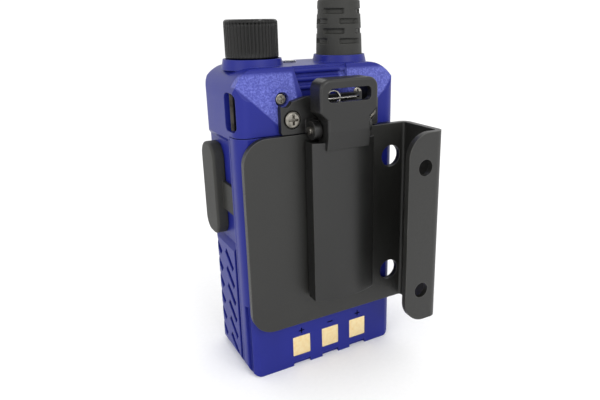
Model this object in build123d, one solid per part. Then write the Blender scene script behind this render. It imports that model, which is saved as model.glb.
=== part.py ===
from build123d import *
import os

# Handheld two-way radio, with the belt clip on its back and the sheet-metal bracket
# that the clip holds.  Millimetres.  +X is the knob side, +Y the back, +Z the antenna.
# The origin is the middle of the base that the radio stands on.

# ------------------------------------------------------------------ radio case
BODY_WIDTH = 58.0
BODY_DEPTH = 32.4
BODY_HEIGHT = 104.2
FRONT_RADIUS = 6.0          # upright corners beside the front face
BACK_RADIUS = 4.6           # upright corners beside the back face
TOP_RADIUS = 9.0            # shoulders, seen from the front
BASE_RADIUS = 4.5           # foot corners, seen from the front
SIDE_WALL = 4.0             # thick enough for the grip grooves and the side recess
FRONT_WALL = 2.4
TOP_WALL = 2.5
FACET_HEIGHT = 9.2          # the back leans in over this height below the top
FACET_LEAN = 3.8
FRONT_LEAN = 3.0            # the front leans back over the same kind of strip
TOP_EDGE = 1.4              # round where the leaning faces meet the top face
SEAM_GAP = 0.3              # parting line between the case and the battery
HALF_WIDTH = BODY_WIDTH / 2
FRONT_Y = -BODY_DEPTH / 2
BACK_Y = BODY_DEPTH / 2
CAVITY_HALF = HALF_WIDTH - SIDE_WALL
CAVITY_FRONT = FRONT_Y + FRONT_WALL
CAVITY_TOP = BODY_HEIGHT - TOP_WALL
CAVITY_BASE = 2.5
CAVITY_RADIUS = TOP_RADIUS - SIDE_WALL

# --------------------------------------------------------------------- battery
SHOULDER_HEIGHT = 20.5      # the case above the battery
BATTERY_HEIGHT = BODY_HEIGHT - SHOULDER_HEIGHT
BATTERY_RIM = 6.5           # depth of the battery's side wall, from seam to back
BATTERY_STEP = 5.4          # how far the inner half reaches into the case's bay
BATTERY_WALL = 1.8
BATTERY_SET_IN = 0.2        # battery back lies this far under the shoulder's back
BATTERY_BACK = BACK_Y - BATTERY_SET_IN
BATTERY_SEAM_Y = BATTERY_BACK - BATTERY_RIM
CASE_SEAM_Y = BATTERY_SEAM_Y - SEAM_GAP
BATTERY_INNER_Y = BATTERY_SEAM_Y - BATTERY_STEP
BATTERY_INNER_HALF = CAVITY_HALF - 0.5
SHOULDER_Z = BATTERY_HEIGHT + SEAM_GAP
SHOULDER_CAVITY_Y = BACK_Y - 5.8    # the shoulder's back is thick: the clip bolts on there
CONTACT_CENTRE_X = -1.8
CONTACT_PITCH = 11.55
CONTACT_WIDTH = 6.7
CONTACT_HEIGHT = 7.4
CONTACT_Z = 7.5
CONTACT_THICK = 0.6
CONTACT_SINK = 0.15
CRADLE_GROOVE_DEPTH = 1.4   # grooves that guide the battery into its charging cradle
CRADLE_GROOVE_TOP = 27.0
CELL_GAP = 0.8
CELL_TOP = BATTERY_HEIGHT - 15.7
TERMINAL_Z = 12.0
TERMINAL_SPREAD = 14.0
TERMINAL_RADIUS = 1.6
LATCH_WIDTH = 16.0
LATCH_HEIGHT = 7.0
LATCH_DEPTH = 2.6
LATCH_TRAVEL = 1.2
LATCH_Z = BATTERY_HEIGHT - 8.7

# --------------------------------------------------------- side recess and grip
RECESS_DEPTH = 1.6
RECESS_BOTTOM = 44.0
RECESS_TOP = BATTERY_HEIGHT - 0.7
RECESS_BACK_Y = 8.2
RECESS_SLOPE = 2.0          # ramp at each end of the recess
GRIP_PITCH = 6.6
GRIP_GROOVES = 6
GRIP_GROOVE_WIDTH = 2.6
GRIP_GROOVE_DEPTH = 1.5
GRIP_GROOVE_LENGTH = 8.4
GRIP_GROOVE_Y = 0.6
GRIP_NOTCH_WIDTH = 2.8
GRIP_NOTCH_DEPTH = 1.7
GRIP_NOTCH_LENGTH = 12.0
GRIP_NOTCH_Y = -12.2
GRIP_NOTCH_TURN = 10.0      # degrees that a notch follows the rounded corner
GRIP_TILT = 38.0            # degrees that each groove falls towards the back
GRIP_FIRST_Z = 39.0
GUIDE_WIDTH = 2.2           # upright channel between the grip and the seam
GUIDE_DEPTH = 1.0
GUIDE_BACK_Y = 8.4

# ------------------------------------------------------- knob, antenna, collars
KNOB_X = HALF_WIDTH - 12.6
ANTENNA_X = -HALF_WIDTH + 13.1
KNOB_RADIUS = 8.5
KNOB_HEIGHT = 12.5
KNOB_RIBS = 40
KNOB_RIB_DEPTH = 0.35
POINTER_WIDTH = 1.0
COLLAR_HEIGHT = 2.2
COLLAR_WALL = 0.55
COLLAR_FLARE = 0.7
COLLAR_RECESS = 0.8
TURN_CLEARANCE = 0.3
SHAFT_RADIUS = 3.0
BUSHING_RADIUS = 3.5
SHAFT_FLAT = 1.0
SHAFT_SINK = 6.0            # how far the shaft reaches into the control
KNOB_CAP = 2.5
KNOB_EDGE = 0.9
CONTROL_WIDTH = 11.6
CONTROL_HEIGHT = 8.0
ANTENNA_BASE_RADIUS = 7.95
ANTENNA_TIP_RADIUS = 4.4
ANTENNA_LENGTH = 158.0
ANTENNA_RING = 4.6
ANTENNA_NECK_RADIUS = 7.1
ANTENNA_WINDOW_ROWS = 4
ANTENNA_WINDOW_PITCH = 3.2
ANTENNA_WINDOW_GAP = 1.2
ANTENNA_NECK_HEIGHT = ANTENNA_WINDOW_ROWS * ANTENNA_WINDOW_PITCH + ANTENNA_WINDOW_GAP
THREAD_RADIUS = 3.17
CONNECTOR_RADIUS = 4.6
CONNECTOR_HEIGHT = 8.0
SOCKET_POST = 6.6
COLLAR_TOP = BODY_HEIGHT + COLLAR_HEIGHT
COLLAR_FLOOR = COLLAR_TOP - COLLAR_RECESS

# -------------------------------------------------------------------- belt clip
CLIP_X = -3.3
CLIP_BASE_X = CLIP_X + 1.1   # the plate reaches further to the knob side
CLIP_BASE_HALF = 17.7
CLIP_BASE_THICK = 2.2
CLIP_BASE_SLOPE = 2.2
CLIP_BASE_CORNER = 0.8
CLIP_BASE_BOTTOM = SHOULDER_Z + 0.2
CLIP_BASE_TOP = CLIP_BASE_BOTTOM + 11.2
CLIP_SCREW_OFFSET = 13.9
CLIP_SCREW_Z = CLIP_BASE_BOTTOM + 4.5
PIVOT_Y = BACK_Y + 5.4
PIVOT_Z = CLIP_BASE_BOTTOM + 1.2
PIN_RADIUS = 1.25
PIN_CLEARANCE = 0.05
SPRING_WIRE = 0.45
SPRING_HALF = 4.5
EAR_RADIUS = PIN_RADIUS + 1.65
EAR_THICK = 2.5
NECK_HALF = 7.6            # the lever narrows between the ears
NECK_BOTTOM = PIVOT_Z - 5.9
NECK_LIP = 0.3
NECK_TOP = PIVOT_Z + EAR_RADIUS + 0.7
TAB_HALF = 10.2
TAB_LOW = NECK_TOP + 2.4
TAB_TOP = PIVOT_Z + 15.8
TAB_BACK_Y = 28.0
TAB_FRONT_Y = 21.4
TAB_SLOT_WIDTH = 15.2
TAB_SLOT_HEIGHT = 4.2
TAB_SLOT_Z = PIVOT_Z + 11.0
LEVER_WALL = 2.2
TAB_WALL = 1.9
TAB_EDGE = 0.9
TAB_CORNER = 3.2
BLADE_HALF = 11.35
BLADE_TOP = PIVOT_Z - EAR_RADIUS - 0.7
BLADE_BOTTOM = 28.0
BLADE_EDGE_Y = 24.0
BLADE_CROWN = 2.5
EAR_GAP = 0.3
CLIP_SEAT_Y = BACK_Y + CLIP_BASE_THICK
THUMB_X = -1.6
THUMB_HALF = 9.8
THUMB_TAPER = 2.4
THUMB_DEPTH = 4.7
THUMB_HEIGHT = 16.0
THUMB_RIDGES = 3
THUMB_FIRST_RIDGE = 1.6
THUMB_RIDGE_PITCH = 2.6
THUMB_RIDGE_RADIUS = 0.9
CLIP_SHANK_RADIUS = 1.25
CLIP_HEAD_RADIUS = 2.6
CLIP_HEAD_HEIGHT = 1.7
CLIP_HEAD_SINK = 0.8
CLIP_SHANK_LENGTH = 8.0
CASE_SCREW_X = 13.9
CASE_SCREW_Z = BODY_HEIGHT - 9.4
CASE_SHANK_RADIUS = 1.0
CASE_HEAD_RADIUS = 1.9
CASE_HEAD_HEIGHT = 1.2
CASE_SHANK_LENGTH = 7.0
CASE_SINK_RADIUS = 2.3
CASE_SCREW_SINK = 2.0
CASE_RING_RADIUS = 3.5      # raised ring around each sunk screw

# ---------------------------------------------------------------------- bracket
BRACKET_THICK = 2.0
BRACKET_BACK_Y = BACK_Y + 2.3
BRACKET_HEIGHT = 66.0
BRACKET_GAP = 0.4           # between the plate's top edge and the clip's base
BRACKET_BOTTOM = CLIP_BASE_BOTTOM - BRACKET_GAP - BRACKET_HEIGHT
BRACKET_RIGHT = 28.4
BRACKET_LEFT = -32.9
BRACKET_WEB_DEPTH = 19.0
BRACKET_FLANGE = 13.9
BRACKET_CORNER = 8.0
BRACKET_BEND = 1.0          # inside bend radius
BRACKET_HOLE_X = -25.5
BRACKET_HOLE_SPACING = 43.2
BRACKET_BOLT_RADIUS = 2.7
BRACKET_ACCESS_RADIUS = 3.8
BRACKET_MIDDLE_Z = BRACKET_BOTTOM + BRACKET_HEIGHT / 2

# -------------------------------------------------- keys, display, front details
KEY_COLUMNS = 4
KEY_ROWS = 4
KEY_WIDTH = 8.4
KEY_HEIGHT = 5.6
KEY_PITCH_X = KEY_WIDTH + 2.2
KEY_PITCH_Z = KEY_HEIGHT + 3.0
KEY_RADIUS = 1.6
KEY_PROUD = 0.9
KEY_LENGTH = 5.2
KEY_CLEARANCE = 0.25
KEYPAD_Z = 25.0
FUNCTION_KEY_WIDTH = 12.0
FUNCTION_KEY_HEIGHT = 4.4
FUNCTION_KEY_X = 14.0
FUNCTION_KEY_Z = 47.6
DISPLAY_WIDTH = 40.0
DISPLAY_HEIGHT = 24.0
DISPLAY_Z = 66.0
DISPLAY_GLASS = 1.2
DISPLAY_LEDGE = 5.0
DISPLAY_CORNER = 2.0
DISPLAY_SLACK = 0.1
SPEAKER_Z = BODY_HEIGHT - 15.2
SPEAKER_RADIUS = 10.0
SPEAKER_SLOTS = 5
SPEAKER_SLOT_PITCH = 2.8
SPEAKER_SLOT_HEIGHT = 1.2
BOARD_THICK = 1.6
BOARD_TOP_GAP = 10.2
BOARD_FRONT_Y = -10.6
BOARD_BACK_Y = BOARD_FRONT_Y + BOARD_THICK
CHASSIS_HALF = CAVITY_HALF - 0.3
CHASSIS_WALL = 2.0
CHASSIS_FLOOR_Y = BATTERY_INNER_Y - 0.4
CHASSIS_BOTTOM = CAVITY_BASE + 1.5
CHASSIS_TOP = CAVITY_TOP - 0.4
TOP_MOUNT_THICK = 2.2
UPPER_WALL = 3.5
MOUNT_DEPTH = 6.0           # the bulkhead's holes start this far above the shoulder's foot
UPPER_FLOOR_Y = SHOULDER_CAVITY_Y - 0.2

# ------------------------------------------------------------ side keys and jacks
SIDE_KEY_Y = -2.5
SIDE_KEY_WIDTH = 9.0
SIDE_KEY_PROUD = 2.2
STEM_RADIUS = 1.2
STEM_CLEARANCE = 0.4
TALK_KEY_Z = 67.0
TALK_KEY_HEIGHT = 16.0
SMALL_KEY_HEIGHT = 5.0
CALL_KEY_Z = 79.0
MONITOR_KEY_Z = 54.5
SWITCH_GAP = 0.8
SWITCH_HEIGHT = 1.6
JACK_SPACING = 11.4
JACK_Z = 61.0
JACK_Y = -5.6
JACK_DEPTH = 6.6
PLUG_HOLE_RADIUS = 3.1
LARGE_JACK_RADIUS = 1.8
SMALL_JACK_RADIUS = 1.3
COVER_FRONT_Y = -14.2
COVER_BACK_Y = -1.6
COVER_BOTTOM = 47.2
COVER_TOP = 79.2
COVER_PROUD = 2.4
COVER_GAP = 0.2
COVER_TAB_Z = 62.0
COVER_TAB_HEIGHT = 9.5
COVER_TAB_THICK = 1.1
COVER_BEAD_RADIUS = 0.8
COVER_BEAD_SINK = 0.3
COVER_EDGE = 0.9
COVER_BEAD_Y = 6.9
STRAP_SLOT_Y = 10.3
STRAP_SLOT_Z = BODY_HEIGHT - 12.8
STRAP_SLOT_WIDTH = 7.6
STRAP_SLOT_HEIGHT = 11.8
STRAP_SLOT_DEPTH = 4.4
STRAP_SLOT_CORNER = 1.8
STRAP_WALL = 1.7
STRAP_BAR_END = 1.2
STRAP_BAR_OFFSET = 1.4
STRAP_BAR_RADIUS = 0.9
TORCH_X = 1.5
TORCH_Y = -4.0
TORCH_RADIUS = 2.6
LIGHT_X = TORCH_X + 4.6
LIGHT_RADIUS = 1.0
MIC_X = 0.0
MIC_Z = FUNCTION_KEY_Z
MIC_HOLE_RADIUS = 0.6
MIC_RADIUS = 2.0
RECESS_X = HALF_WIDTH - RECESS_DEPTH

TOOL = 1.5 * BODY_HEIGHT    # longer than anything that a cutting tool goes through


# ---------------------------------------------------------------- small helpers
def block(x0, x1, y0, y1, z0, z1):
    """Box between six planes."""
    return Pos((x0 + x1) / 2, (y0 + y1) / 2, (z0 + z1) / 2) * Box(x1 - x0, y1 - y0, z1 - z0)


def rod_x(y, z, x0, x1, radius):
    """Round bar along X."""
    return Pos((x0 + x1) / 2, y, z) * Rot(0, 90, 0) * Cylinder(radius, x1 - x0)


def rod_y(x, z, y0, y1, radius):
    """Round bar along Y."""
    return Pos(x, (y0 + y1) / 2, z) * Rot(90, 0, 0) * Cylinder(radius, y1 - y0)


def rod_z(x, y, z0, z1, radius):
    """Round bar along Z."""
    return Pos(x, y, (z0 + z1) / 2) * Cylinder(radius, z1 - z0)


def pad_x(y, z, width, height, x0, x1, radius):
    """Plate facing X, its corners rounded."""
    return Pos(x0, y, z) * extrude(Plane.YZ * RectangleRounded(width, height, radius), x1 - x0)


def pad_y(x, z, width, height, y0, y1, radius):
    """Plate facing Y, its corners rounded."""
    return Pos(x, y1, z) * extrude(Plane.XZ * RectangleRounded(width, height, radius), y1 - y0)


def pad_z(x, y, width, depth, z0, z1, radius):
    """Plate facing Z, its corners rounded."""
    return Pos(x, y, z0) * extrude(RectangleRounded(width, depth, radius), z1 - z0)


def prism_x(points, x0, x1):
    """Outline in Y and Z, carried along X."""
    return Pos(x0, 0, 0) * extrude(Plane.YZ * make_face(Polyline(*points, close=True)), x1 - x0)


def cone_z(x, y, z0, z1, radius0, radius1):
    """Tapered round bar along Z, from radius0 at z0 to radius1 at z1."""
    return Pos(x, y, (z0 + z1) / 2) * Cone(radius0, radius1, z1 - z0)


def pan_screw(x, z, seat_y, head_radius, head_height, shank_radius, shank_length):
    """Pan-head cross-recess screw along Y, its head standing on seat_y."""
    head = rod_y(x, z, seat_y, seat_y + head_height, head_radius)
    head = fillet(head.edges().group_by(Axis.Y)[-1], head_height * 0.45)
    screw = head + rod_y(x, z, seat_y - shank_length, seat_y, shank_radius)
    arm = head_radius * 0.6
    slot = head_radius * 0.15
    floor = seat_y + head_height * 0.4
    top = seat_y + head_height + 1
    cross = block(x - arm, x + arm, floor, top, z - slot, z + slot)
    cross += block(x - slot, x + slot, floor, top, z - arm, z + arm)
    return screw - cross


# --------------------------------------------------------------------- the case
def envelope():
    """The radio's whole outer form: its plan, front and side outlines crossed."""
    plan = Rectangle(BODY_WIDTH, BODY_DEPTH)
    plan = fillet(plan.vertices().group_by(Axis.Y)[0], FRONT_RADIUS)
    plan = fillet(plan.vertices().group_by(Axis.Y)[-1], BACK_RADIUS)
    front = Pos(0, BODY_HEIGHT / 2) * Rectangle(BODY_WIDTH, BODY_HEIGHT)
    front = fillet(front.vertices().group_by(Axis.Y)[0], BASE_RADIUS)
    front = fillet(front.vertices().group_by(Axis.Y)[-1], TOP_RADIUS)
    side = make_face(Polyline(
        (FRONT_Y, 0),
        (BACK_Y, 0),
        (BACK_Y, BODY_HEIGHT - FACET_HEIGHT),
        (BACK_Y - FACET_LEAN, BODY_HEIGHT),
        (FRONT_Y + FRONT_LEAN, BODY_HEIGHT),
        (FRONT_Y, BODY_HEIGHT - FACET_HEIGHT),
        close=True,
    ))
    side = fillet(side.vertices().group_by(Axis.Y)[-1], TOP_EDGE)
    form = extrude(plan, BODY_HEIGHT)
    form &= extrude(Plane.XZ * front, TOOL, both=True)
    form &= extrude(Plane.YZ * side, TOOL, both=True)
    return form


def cavity():
    """Room inside the case, open at the back where the battery goes."""
    height = CAVITY_TOP - CAVITY_BASE
    room = pad_y(0, CAVITY_BASE + height / 2, 2 * CAVITY_HALF, height,
                 CAVITY_FRONT, SHOULDER_CAVITY_Y, CAVITY_RADIUS)
    return room - strap_guard()


def strap_guard():
    """Solid corner left around the strap eye."""
    inner = HALF_WIDTH - STRAP_SLOT_DEPTH - STRAP_WALL
    return block(inner, HALF_WIDTH, STRAP_SLOT_Y - STRAP_SLOT_WIDTH / 2 - STRAP_WALL, BACK_Y,
                 SHOULDER_Z, CAVITY_TOP)


def side_recess():
    """Shallow channel down each side, above the grip, with ramped ends."""
    points = (
        (RECESS_X, RECESS_BOTTOM + RECESS_SLOPE),
        (HALF_WIDTH + 1, RECESS_BOTTOM - RECESS_SLOPE / 2),
        (HALF_WIDTH + 1, RECESS_TOP + RECESS_SLOPE / 2),
        (RECESS_X, RECESS_TOP - RECESS_SLOPE),
    )
    outline = make_face(Polyline(*points, close=True))
    cut = Pos(0, RECESS_BACK_Y, 0) * extrude(Plane.XZ * outline, RECESS_BACK_Y - FRONT_Y + 1)
    return cut + mirror(cut, Plane.YZ)


def grip_grooves():
    """Diagonal pockets of both grips, notches at the front edge, and the upright guide channel."""
    cuts = []
    for row in range(GRIP_GROOVES):
        z = GRIP_FIRST_Z - row * GRIP_PITCH
        groove = Box(2 * GRIP_GROOVE_DEPTH, GRIP_GROOVE_LENGTH, GRIP_GROOVE_WIDTH)
        cuts.append(Pos(HALF_WIDTH, GRIP_GROOVE_Y, z) * Rot(-GRIP_TILT, 0, 0) * groove)
        notch = Box(2 * GRIP_NOTCH_DEPTH, GRIP_NOTCH_LENGTH, GRIP_NOTCH_WIDTH)
        place = Pos(HALF_WIDTH, GRIP_NOTCH_Y, z + GRIP_PITCH / 2)
        cuts.append(place * Rot(0, 0, -GRIP_NOTCH_TURN) * Rot(-GRIP_TILT, 0, 0) * notch)
    cuts.append(block(HALF_WIDTH - GUIDE_DEPTH, TOOL, GUIDE_BACK_Y - GUIDE_WIDTH, GUIDE_BACK_Y,
                      -1, RECESS_BOTTOM + RECESS_SLOPE))
    cuts += [mirror(cut, Plane.YZ) for cut in cuts]
    return cuts


def collar(x, radius):
    """Flared ring on the top face around the knob or the antenna."""
    rim = radius + TURN_CLEARANCE + COLLAR_WALL
    ring = cone_z(x, 0, BODY_HEIGHT - 1, COLLAR_TOP, rim + COLLAR_FLARE, rim)
    return ring - rod_z(x, 0, COLLAR_FLOOR, COLLAR_TOP + 1, radius + TURN_CLEARANCE)


def thumb_recess():
    """Stepped scoop in the shoulder that gives the thumb room behind the clip's tab."""
    low_half = THUMB_HALF - THUMB_TAPER
    floor_y = BACK_Y - THUMB_DEPTH
    bottom = BODY_HEIGHT - THUMB_HEIGHT
    outline = make_face(Polyline(
        (-THUMB_HALF, BODY_HEIGHT + 1),
        (THUMB_HALF, BODY_HEIGHT + 1),
        (low_half, bottom),
        (-low_half, bottom),
        close=True,
    ))
    scoop = Pos(THUMB_X, BACK_Y + 1, 0) * extrude(Plane.XZ * outline, BACK_Y + 1 - floor_y)
    for step in range(THUMB_RIDGES):
        z = BODY_HEIGHT - THUMB_FIRST_RIDGE - THUMB_RIDGE_PITCH * step
        scoop -= rod_x(floor_y, z, -TOOL, TOOL, THUMB_RIDGE_RADIUS)
    return scoop


def key_places():
    """Middle of each keypad key, from the top left one, row by row."""
    places = []
    for row in range(KEY_ROWS):
        for column in range(KEY_COLUMNS):
            x = (column - (KEY_COLUMNS - 1) / 2) * KEY_PITCH_X
            z = KEYPAD_Z - (row - (KEY_ROWS - 1) / 2) * KEY_PITCH_Z
            places.append((x, z))
    return places


def front_key(x, z, width, height, grow=0.0):
    """Front key, or its opening when grown by a clearance."""
    y0 = FRONT_Y - KEY_PROUD - 2 * grow
    return pad_y(x, z, width + 2 * grow, height + 2 * grow, y0, y0 + KEY_LENGTH + 4 * grow,
                 KEY_RADIUS + grow)


def front_openings():
    """Key, display, speaker and microphone openings through the front wall."""
    cuts = []
    for x, z in key_places():
        cuts.append(front_key(x, z, KEY_WIDTH, KEY_HEIGHT, KEY_CLEARANCE))
    for x in (-FUNCTION_KEY_X, FUNCTION_KEY_X):
        cuts.append(front_key(x, FUNCTION_KEY_Z, FUNCTION_KEY_WIDTH, FUNCTION_KEY_HEIGHT,
                              KEY_CLEARANCE))
    cuts.append(pad_y(0, DISPLAY_Z, DISPLAY_WIDTH, DISPLAY_HEIGHT,
                      FRONT_Y - 1, FRONT_Y + DISPLAY_GLASS, DISPLAY_CORNER))
    cuts.append(pad_y(0, DISPLAY_Z, DISPLAY_WIDTH - DISPLAY_LEDGE, DISPLAY_HEIGHT - DISPLAY_LEDGE,
                      FRONT_Y - 1, CAVITY_FRONT + 1, 1.0))
    for slot in range(SPEAKER_SLOTS):
        offset = (slot - (SPEAKER_SLOTS - 1) / 2) * SPEAKER_SLOT_PITCH
        half = (SPEAKER_RADIUS ** 2 - offset ** 2) ** 0.5
        cuts.append(pad_y(0, SPEAKER_Z + offset, 2 * half, SPEAKER_SLOT_HEIGHT,
                          FRONT_Y - 1, CAVITY_FRONT + 1, SPEAKER_SLOT_HEIGHT * 0.49))
    cuts.append(rod_y(MIC_X, MIC_Z, FRONT_Y - 1, CAVITY_FRONT + 1, MIC_HOLE_RADIUS))
    return cuts


def side_keys():
    """Name, middle height and height of each key on the talk side."""
    return (
        ("call_key", CALL_KEY_Z, SMALL_KEY_HEIGHT),
        ("talk_key", TALK_KEY_Z, TALK_KEY_HEIGHT),
        ("monitor_key", MONITOR_KEY_Z, SMALL_KEY_HEIGHT),
    )


def jack_places():
    """Height and bore radius of the two accessory sockets."""
    return (
        (JACK_Z - JACK_SPACING / 2, SMALL_JACK_RADIUS),
        (JACK_Z + JACK_SPACING / 2, LARGE_JACK_RADIUS),
    )


def cover_bead_cut():
    """Groove that traps the bead at the end of the jack cover's tether."""
    x = RECESS_X + COVER_BEAD_RADIUS - COVER_BEAD_SINK
    height = COVER_TAB_HEIGHT + 0.6
    return rod_z(x, COVER_BEAD_Y, COVER_TAB_Z - height / 2, COVER_TAB_Z + height / 2,
                 COVER_BEAD_RADIUS + 0.1)


def front_case():
    """Moulded case: front, sides, base and the shoulder above the battery."""
    case = envelope() - block(-TOOL, TOOL, CASE_SEAM_Y, TOOL, -1, SHOULDER_Z)
    case -= side_recess()
    case -= cavity()
    # The bay is open at the foot, so that the battery can slide out downwards.
    bay_half = BATTERY_INNER_HALF + 0.5
    case -= block(-bay_half, bay_half, CHASSIS_FLOOR_Y, TOOL, -1, CAVITY_BASE + CAVITY_RADIUS)
    for cut in grip_grooves():
        case -= cut
    case += collar(KNOB_X, KNOB_RADIUS)
    case += collar(ANTENNA_X, ANTENNA_BASE_RADIUS)
    case -= rod_z(KNOB_X, 0, CAVITY_TOP - 1, COLLAR_TOP, BUSHING_RADIUS)
    case -= rod_z(ANTENNA_X, 0, CAVITY_TOP - 1, COLLAR_TOP, CONNECTOR_RADIUS)
    case -= thumb_recess()
    for cut in front_openings():
        case -= cut
    for _, z, height in side_keys():
        case -= pad_x(SIDE_KEY_Y, z, SIDE_KEY_WIDTH + 2 * KEY_CLEARANCE,
                      height + 2 * KEY_CLEARANCE, -TOOL, -CAVITY_HALF + 1, 1.5)
    for z, _ in jack_places():
        case -= rod_x(JACK_Y, z, CAVITY_HALF - 1, TOOL, PLUG_HOLE_RADIUS)
    case -= cover_bead_cut()
    case -= pad_x(STRAP_SLOT_Y, STRAP_SLOT_Z, STRAP_SLOT_WIDTH, STRAP_SLOT_HEIGHT,
                  HALF_WIDTH - STRAP_SLOT_DEPTH, TOOL, STRAP_SLOT_CORNER)
    case -= strap_bar()
    case -= rod_z(TORCH_X, TORCH_Y, CAVITY_TOP - 1, TOOL * 2, TORCH_RADIUS)
    case -= rod_z(LIGHT_X, TORCH_Y, CAVITY_TOP - 1, TOOL * 2, LIGHT_RADIUS)
    for x in clip_screw_places():
        case -= rod_y(x, CLIP_SCREW_Z, SHOULDER_CAVITY_Y - 1, TOOL, CLIP_SHANK_RADIUS)
    for x in case_screw_places():
        case += rod_y(x, CASE_SCREW_Z, SHOULDER_CAVITY_Y, BACK_Y, CASE_RING_RADIUS)
        case -= rod_y(x, CASE_SCREW_Z, SHOULDER_CAVITY_Y - 1, TOOL, CASE_SHANK_RADIUS)
        case -= rod_y(x, CASE_SCREW_Z, BACK_Y - CASE_SCREW_SINK, TOOL, CASE_SINK_RADIUS)
    return case


def clip_screw_places():
    """X of the two belt-clip screws."""
    return (CLIP_BASE_X - CLIP_SCREW_OFFSET, CLIP_BASE_X + CLIP_SCREW_OFFSET)


def case_screw_places():
    """X of the two sunk screws that hold the shoulder to the chassis."""
    return (-CASE_SCREW_X, CASE_SCREW_X)


def strap_bar():
    """Steel pin across the strap eye."""
    reach = STRAP_SLOT_HEIGHT / 2 + STRAP_BAR_END
    x = HALF_WIDTH - 2 * STRAP_BAR_RADIUS
    y = STRAP_SLOT_Y - STRAP_BAR_OFFSET
    return rod_z(x, y, STRAP_SLOT_Z - reach, STRAP_SLOT_Z + reach, STRAP_BAR_RADIUS)


# ---------------------------------------------------------------------- inside
def chassis():
    """Die-cast tray behind the board: the battery bay's floor and the top bulkhead."""
    height = CHASSIS_TOP - CHASSIS_BOTTOM
    middle = CHASSIS_BOTTOM + height / 2
    inner = CHASSIS_HALF - CHASSIS_WALL
    shelf = SHOULDER_Z + 0.4
    lower = pad_y(0, middle, 2 * CHASSIS_HALF, height, BOARD_BACK_Y, CHASSIS_FLOOR_Y,
                  CAVITY_RADIUS)
    upper = pad_y(0, middle, 2 * CHASSIS_HALF, height, BOARD_BACK_Y, UPPER_FLOOR_Y,
                  CAVITY_RADIUS)
    upper &= block(-TOOL, TOOL, -TOOL, TOOL, shelf, TOOL * 2)
    tray = lower + upper
    tray -= block(-inner, inner, BOARD_BACK_Y - 1, CHASSIS_FLOOR_Y - CHASSIS_WALL,
                  CHASSIS_BOTTOM + CHASSIS_WALL, shelf + 4)
    tray -= block(-inner, inner, BOARD_BACK_Y - 1, UPPER_FLOOR_Y - UPPER_WALL,
                  shelf + CHASSIS_WALL, CHASSIS_TOP - TOP_MOUNT_THICK)
    tray -= rod_z(KNOB_X, 0, SHOULDER_Z + MOUNT_DEPTH, TOOL, BUSHING_RADIUS)
    tray -= rod_z(ANTENNA_X, 0, SHOULDER_Z + MOUNT_DEPTH, TOOL, CONNECTOR_RADIUS)
    tray -= rod_z(TORCH_X, TORCH_Y, SHOULDER_Z + MOUNT_DEPTH, TOOL, TORCH_RADIUS)
    tray -= rod_z(LIGHT_X, TORCH_Y, SHOULDER_Z + MOUNT_DEPTH, TOOL, LIGHT_RADIUS)
    guard = strap_guard().bounding_box()
    tray -= block(guard.min.X - 0.3, TOOL, guard.min.Y - 0.3, TOOL, SHOULDER_Z, TOOL * 2)
    for _, z, _ in side_keys():
        tray -= rod_x(SIDE_KEY_Y, z, -TOOL, -inner + 1, STEM_RADIUS + STEM_CLEARANCE)
    tray -= block(inner - 1, TOOL, BOARD_BACK_Y - 1, jack_back_y() + 0.3,
                  JACK_Z - JACK_SPACING - 0.3, JACK_Z + JACK_SPACING + 0.3)
    for x in clip_screw_places():
        tray -= rod_y(x, CLIP_SCREW_Z, 0, TOOL, CLIP_SHANK_RADIUS)
    for x in case_screw_places():
        tray -= rod_y(x, CASE_SCREW_Z, 0, TOOL, CASE_SHANK_RADIUS)
    for x in terminal_places():
        tray -= rod_y(x, TERMINAL_Z, CHASSIS_FLOOR_Y - CHASSIS_WALL - 1, TOOL, TERMINAL_RADIUS)
    return tray


def terminal_places():
    """X of the spring contacts between the chassis and the battery."""
    return (-TERMINAL_SPREAD, 0.0, TERMINAL_SPREAD)


def jack_back_y():
    """Back face of the accessory socket block."""
    return JACK_Y + JACK_DEPTH / 2 + 0.6


def main_board():
    """Circuit board with shield cans, lying on the chassis's front rim."""
    height = BODY_HEIGHT - BOARD_TOP_GAP - CHASSIS_BOTTOM
    board = pad_y(0, CHASSIS_BOTTOM + height / 2, 2 * CHASSIS_HALF - 1, height,
                  BOARD_FRONT_Y, BOARD_BACK_Y, CAVITY_RADIUS)
    cans = ((-8.0, 30.0, 24.0, 30.0), (4.0, 62.0, 14.0, 20.0))
    for x, z, width, tall in cans:
        board += pad_y(x, z, width, tall, BOARD_BACK_Y, BOARD_BACK_Y + 3.0, 1.0)
    return board


def keypad_membrane():
    """Silicone sheet behind the front wall, with a hole round each key."""
    y1 = CAVITY_FRONT + 1.2
    sheet = pad_y(0, KEYPAD_Z, KEY_COLUMNS * KEY_PITCH_X + 2, KEY_ROWS * KEY_PITCH_Z + 2,
                  CAVITY_FRONT, y1, 2.0)
    for x, z in key_places():
        sheet -= front_key(x, z, KEY_WIDTH, KEY_HEIGHT, KEY_CLEARANCE)
    return sheet


def display_window():
    """Clear window let into the front."""
    slack = DISPLAY_SLACK
    return pad_y(0, DISPLAY_Z, DISPLAY_WIDTH - 2 * slack, DISPLAY_HEIGHT - 2 * slack,
                 FRONT_Y + slack / 2, FRONT_Y + DISPLAY_GLASS, DISPLAY_CORNER - slack)


def display_module():
    """Display panel behind the window."""
    return pad_y(0, DISPLAY_Z, DISPLAY_WIDTH - 2, DISPLAY_HEIGHT - 2,
                 CAVITY_FRONT + 0.1, BOARD_FRONT_Y - 0.1, 1.0)


def speaker():
    """Flat round loudspeaker: frame with a shallow cone."""
    radius = SPEAKER_RADIUS + 1.5
    unit = rod_y(0, SPEAKER_Z, CAVITY_FRONT + 0.1, BOARD_FRONT_Y - 0.1, radius)
    dish = Pos(0, CAVITY_FRONT + 0.6, SPEAKER_Z) * Rot(90, 0, 0)
    return unit - dish * Cone(radius * 0.4, radius - 1.2, 1.2)


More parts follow.
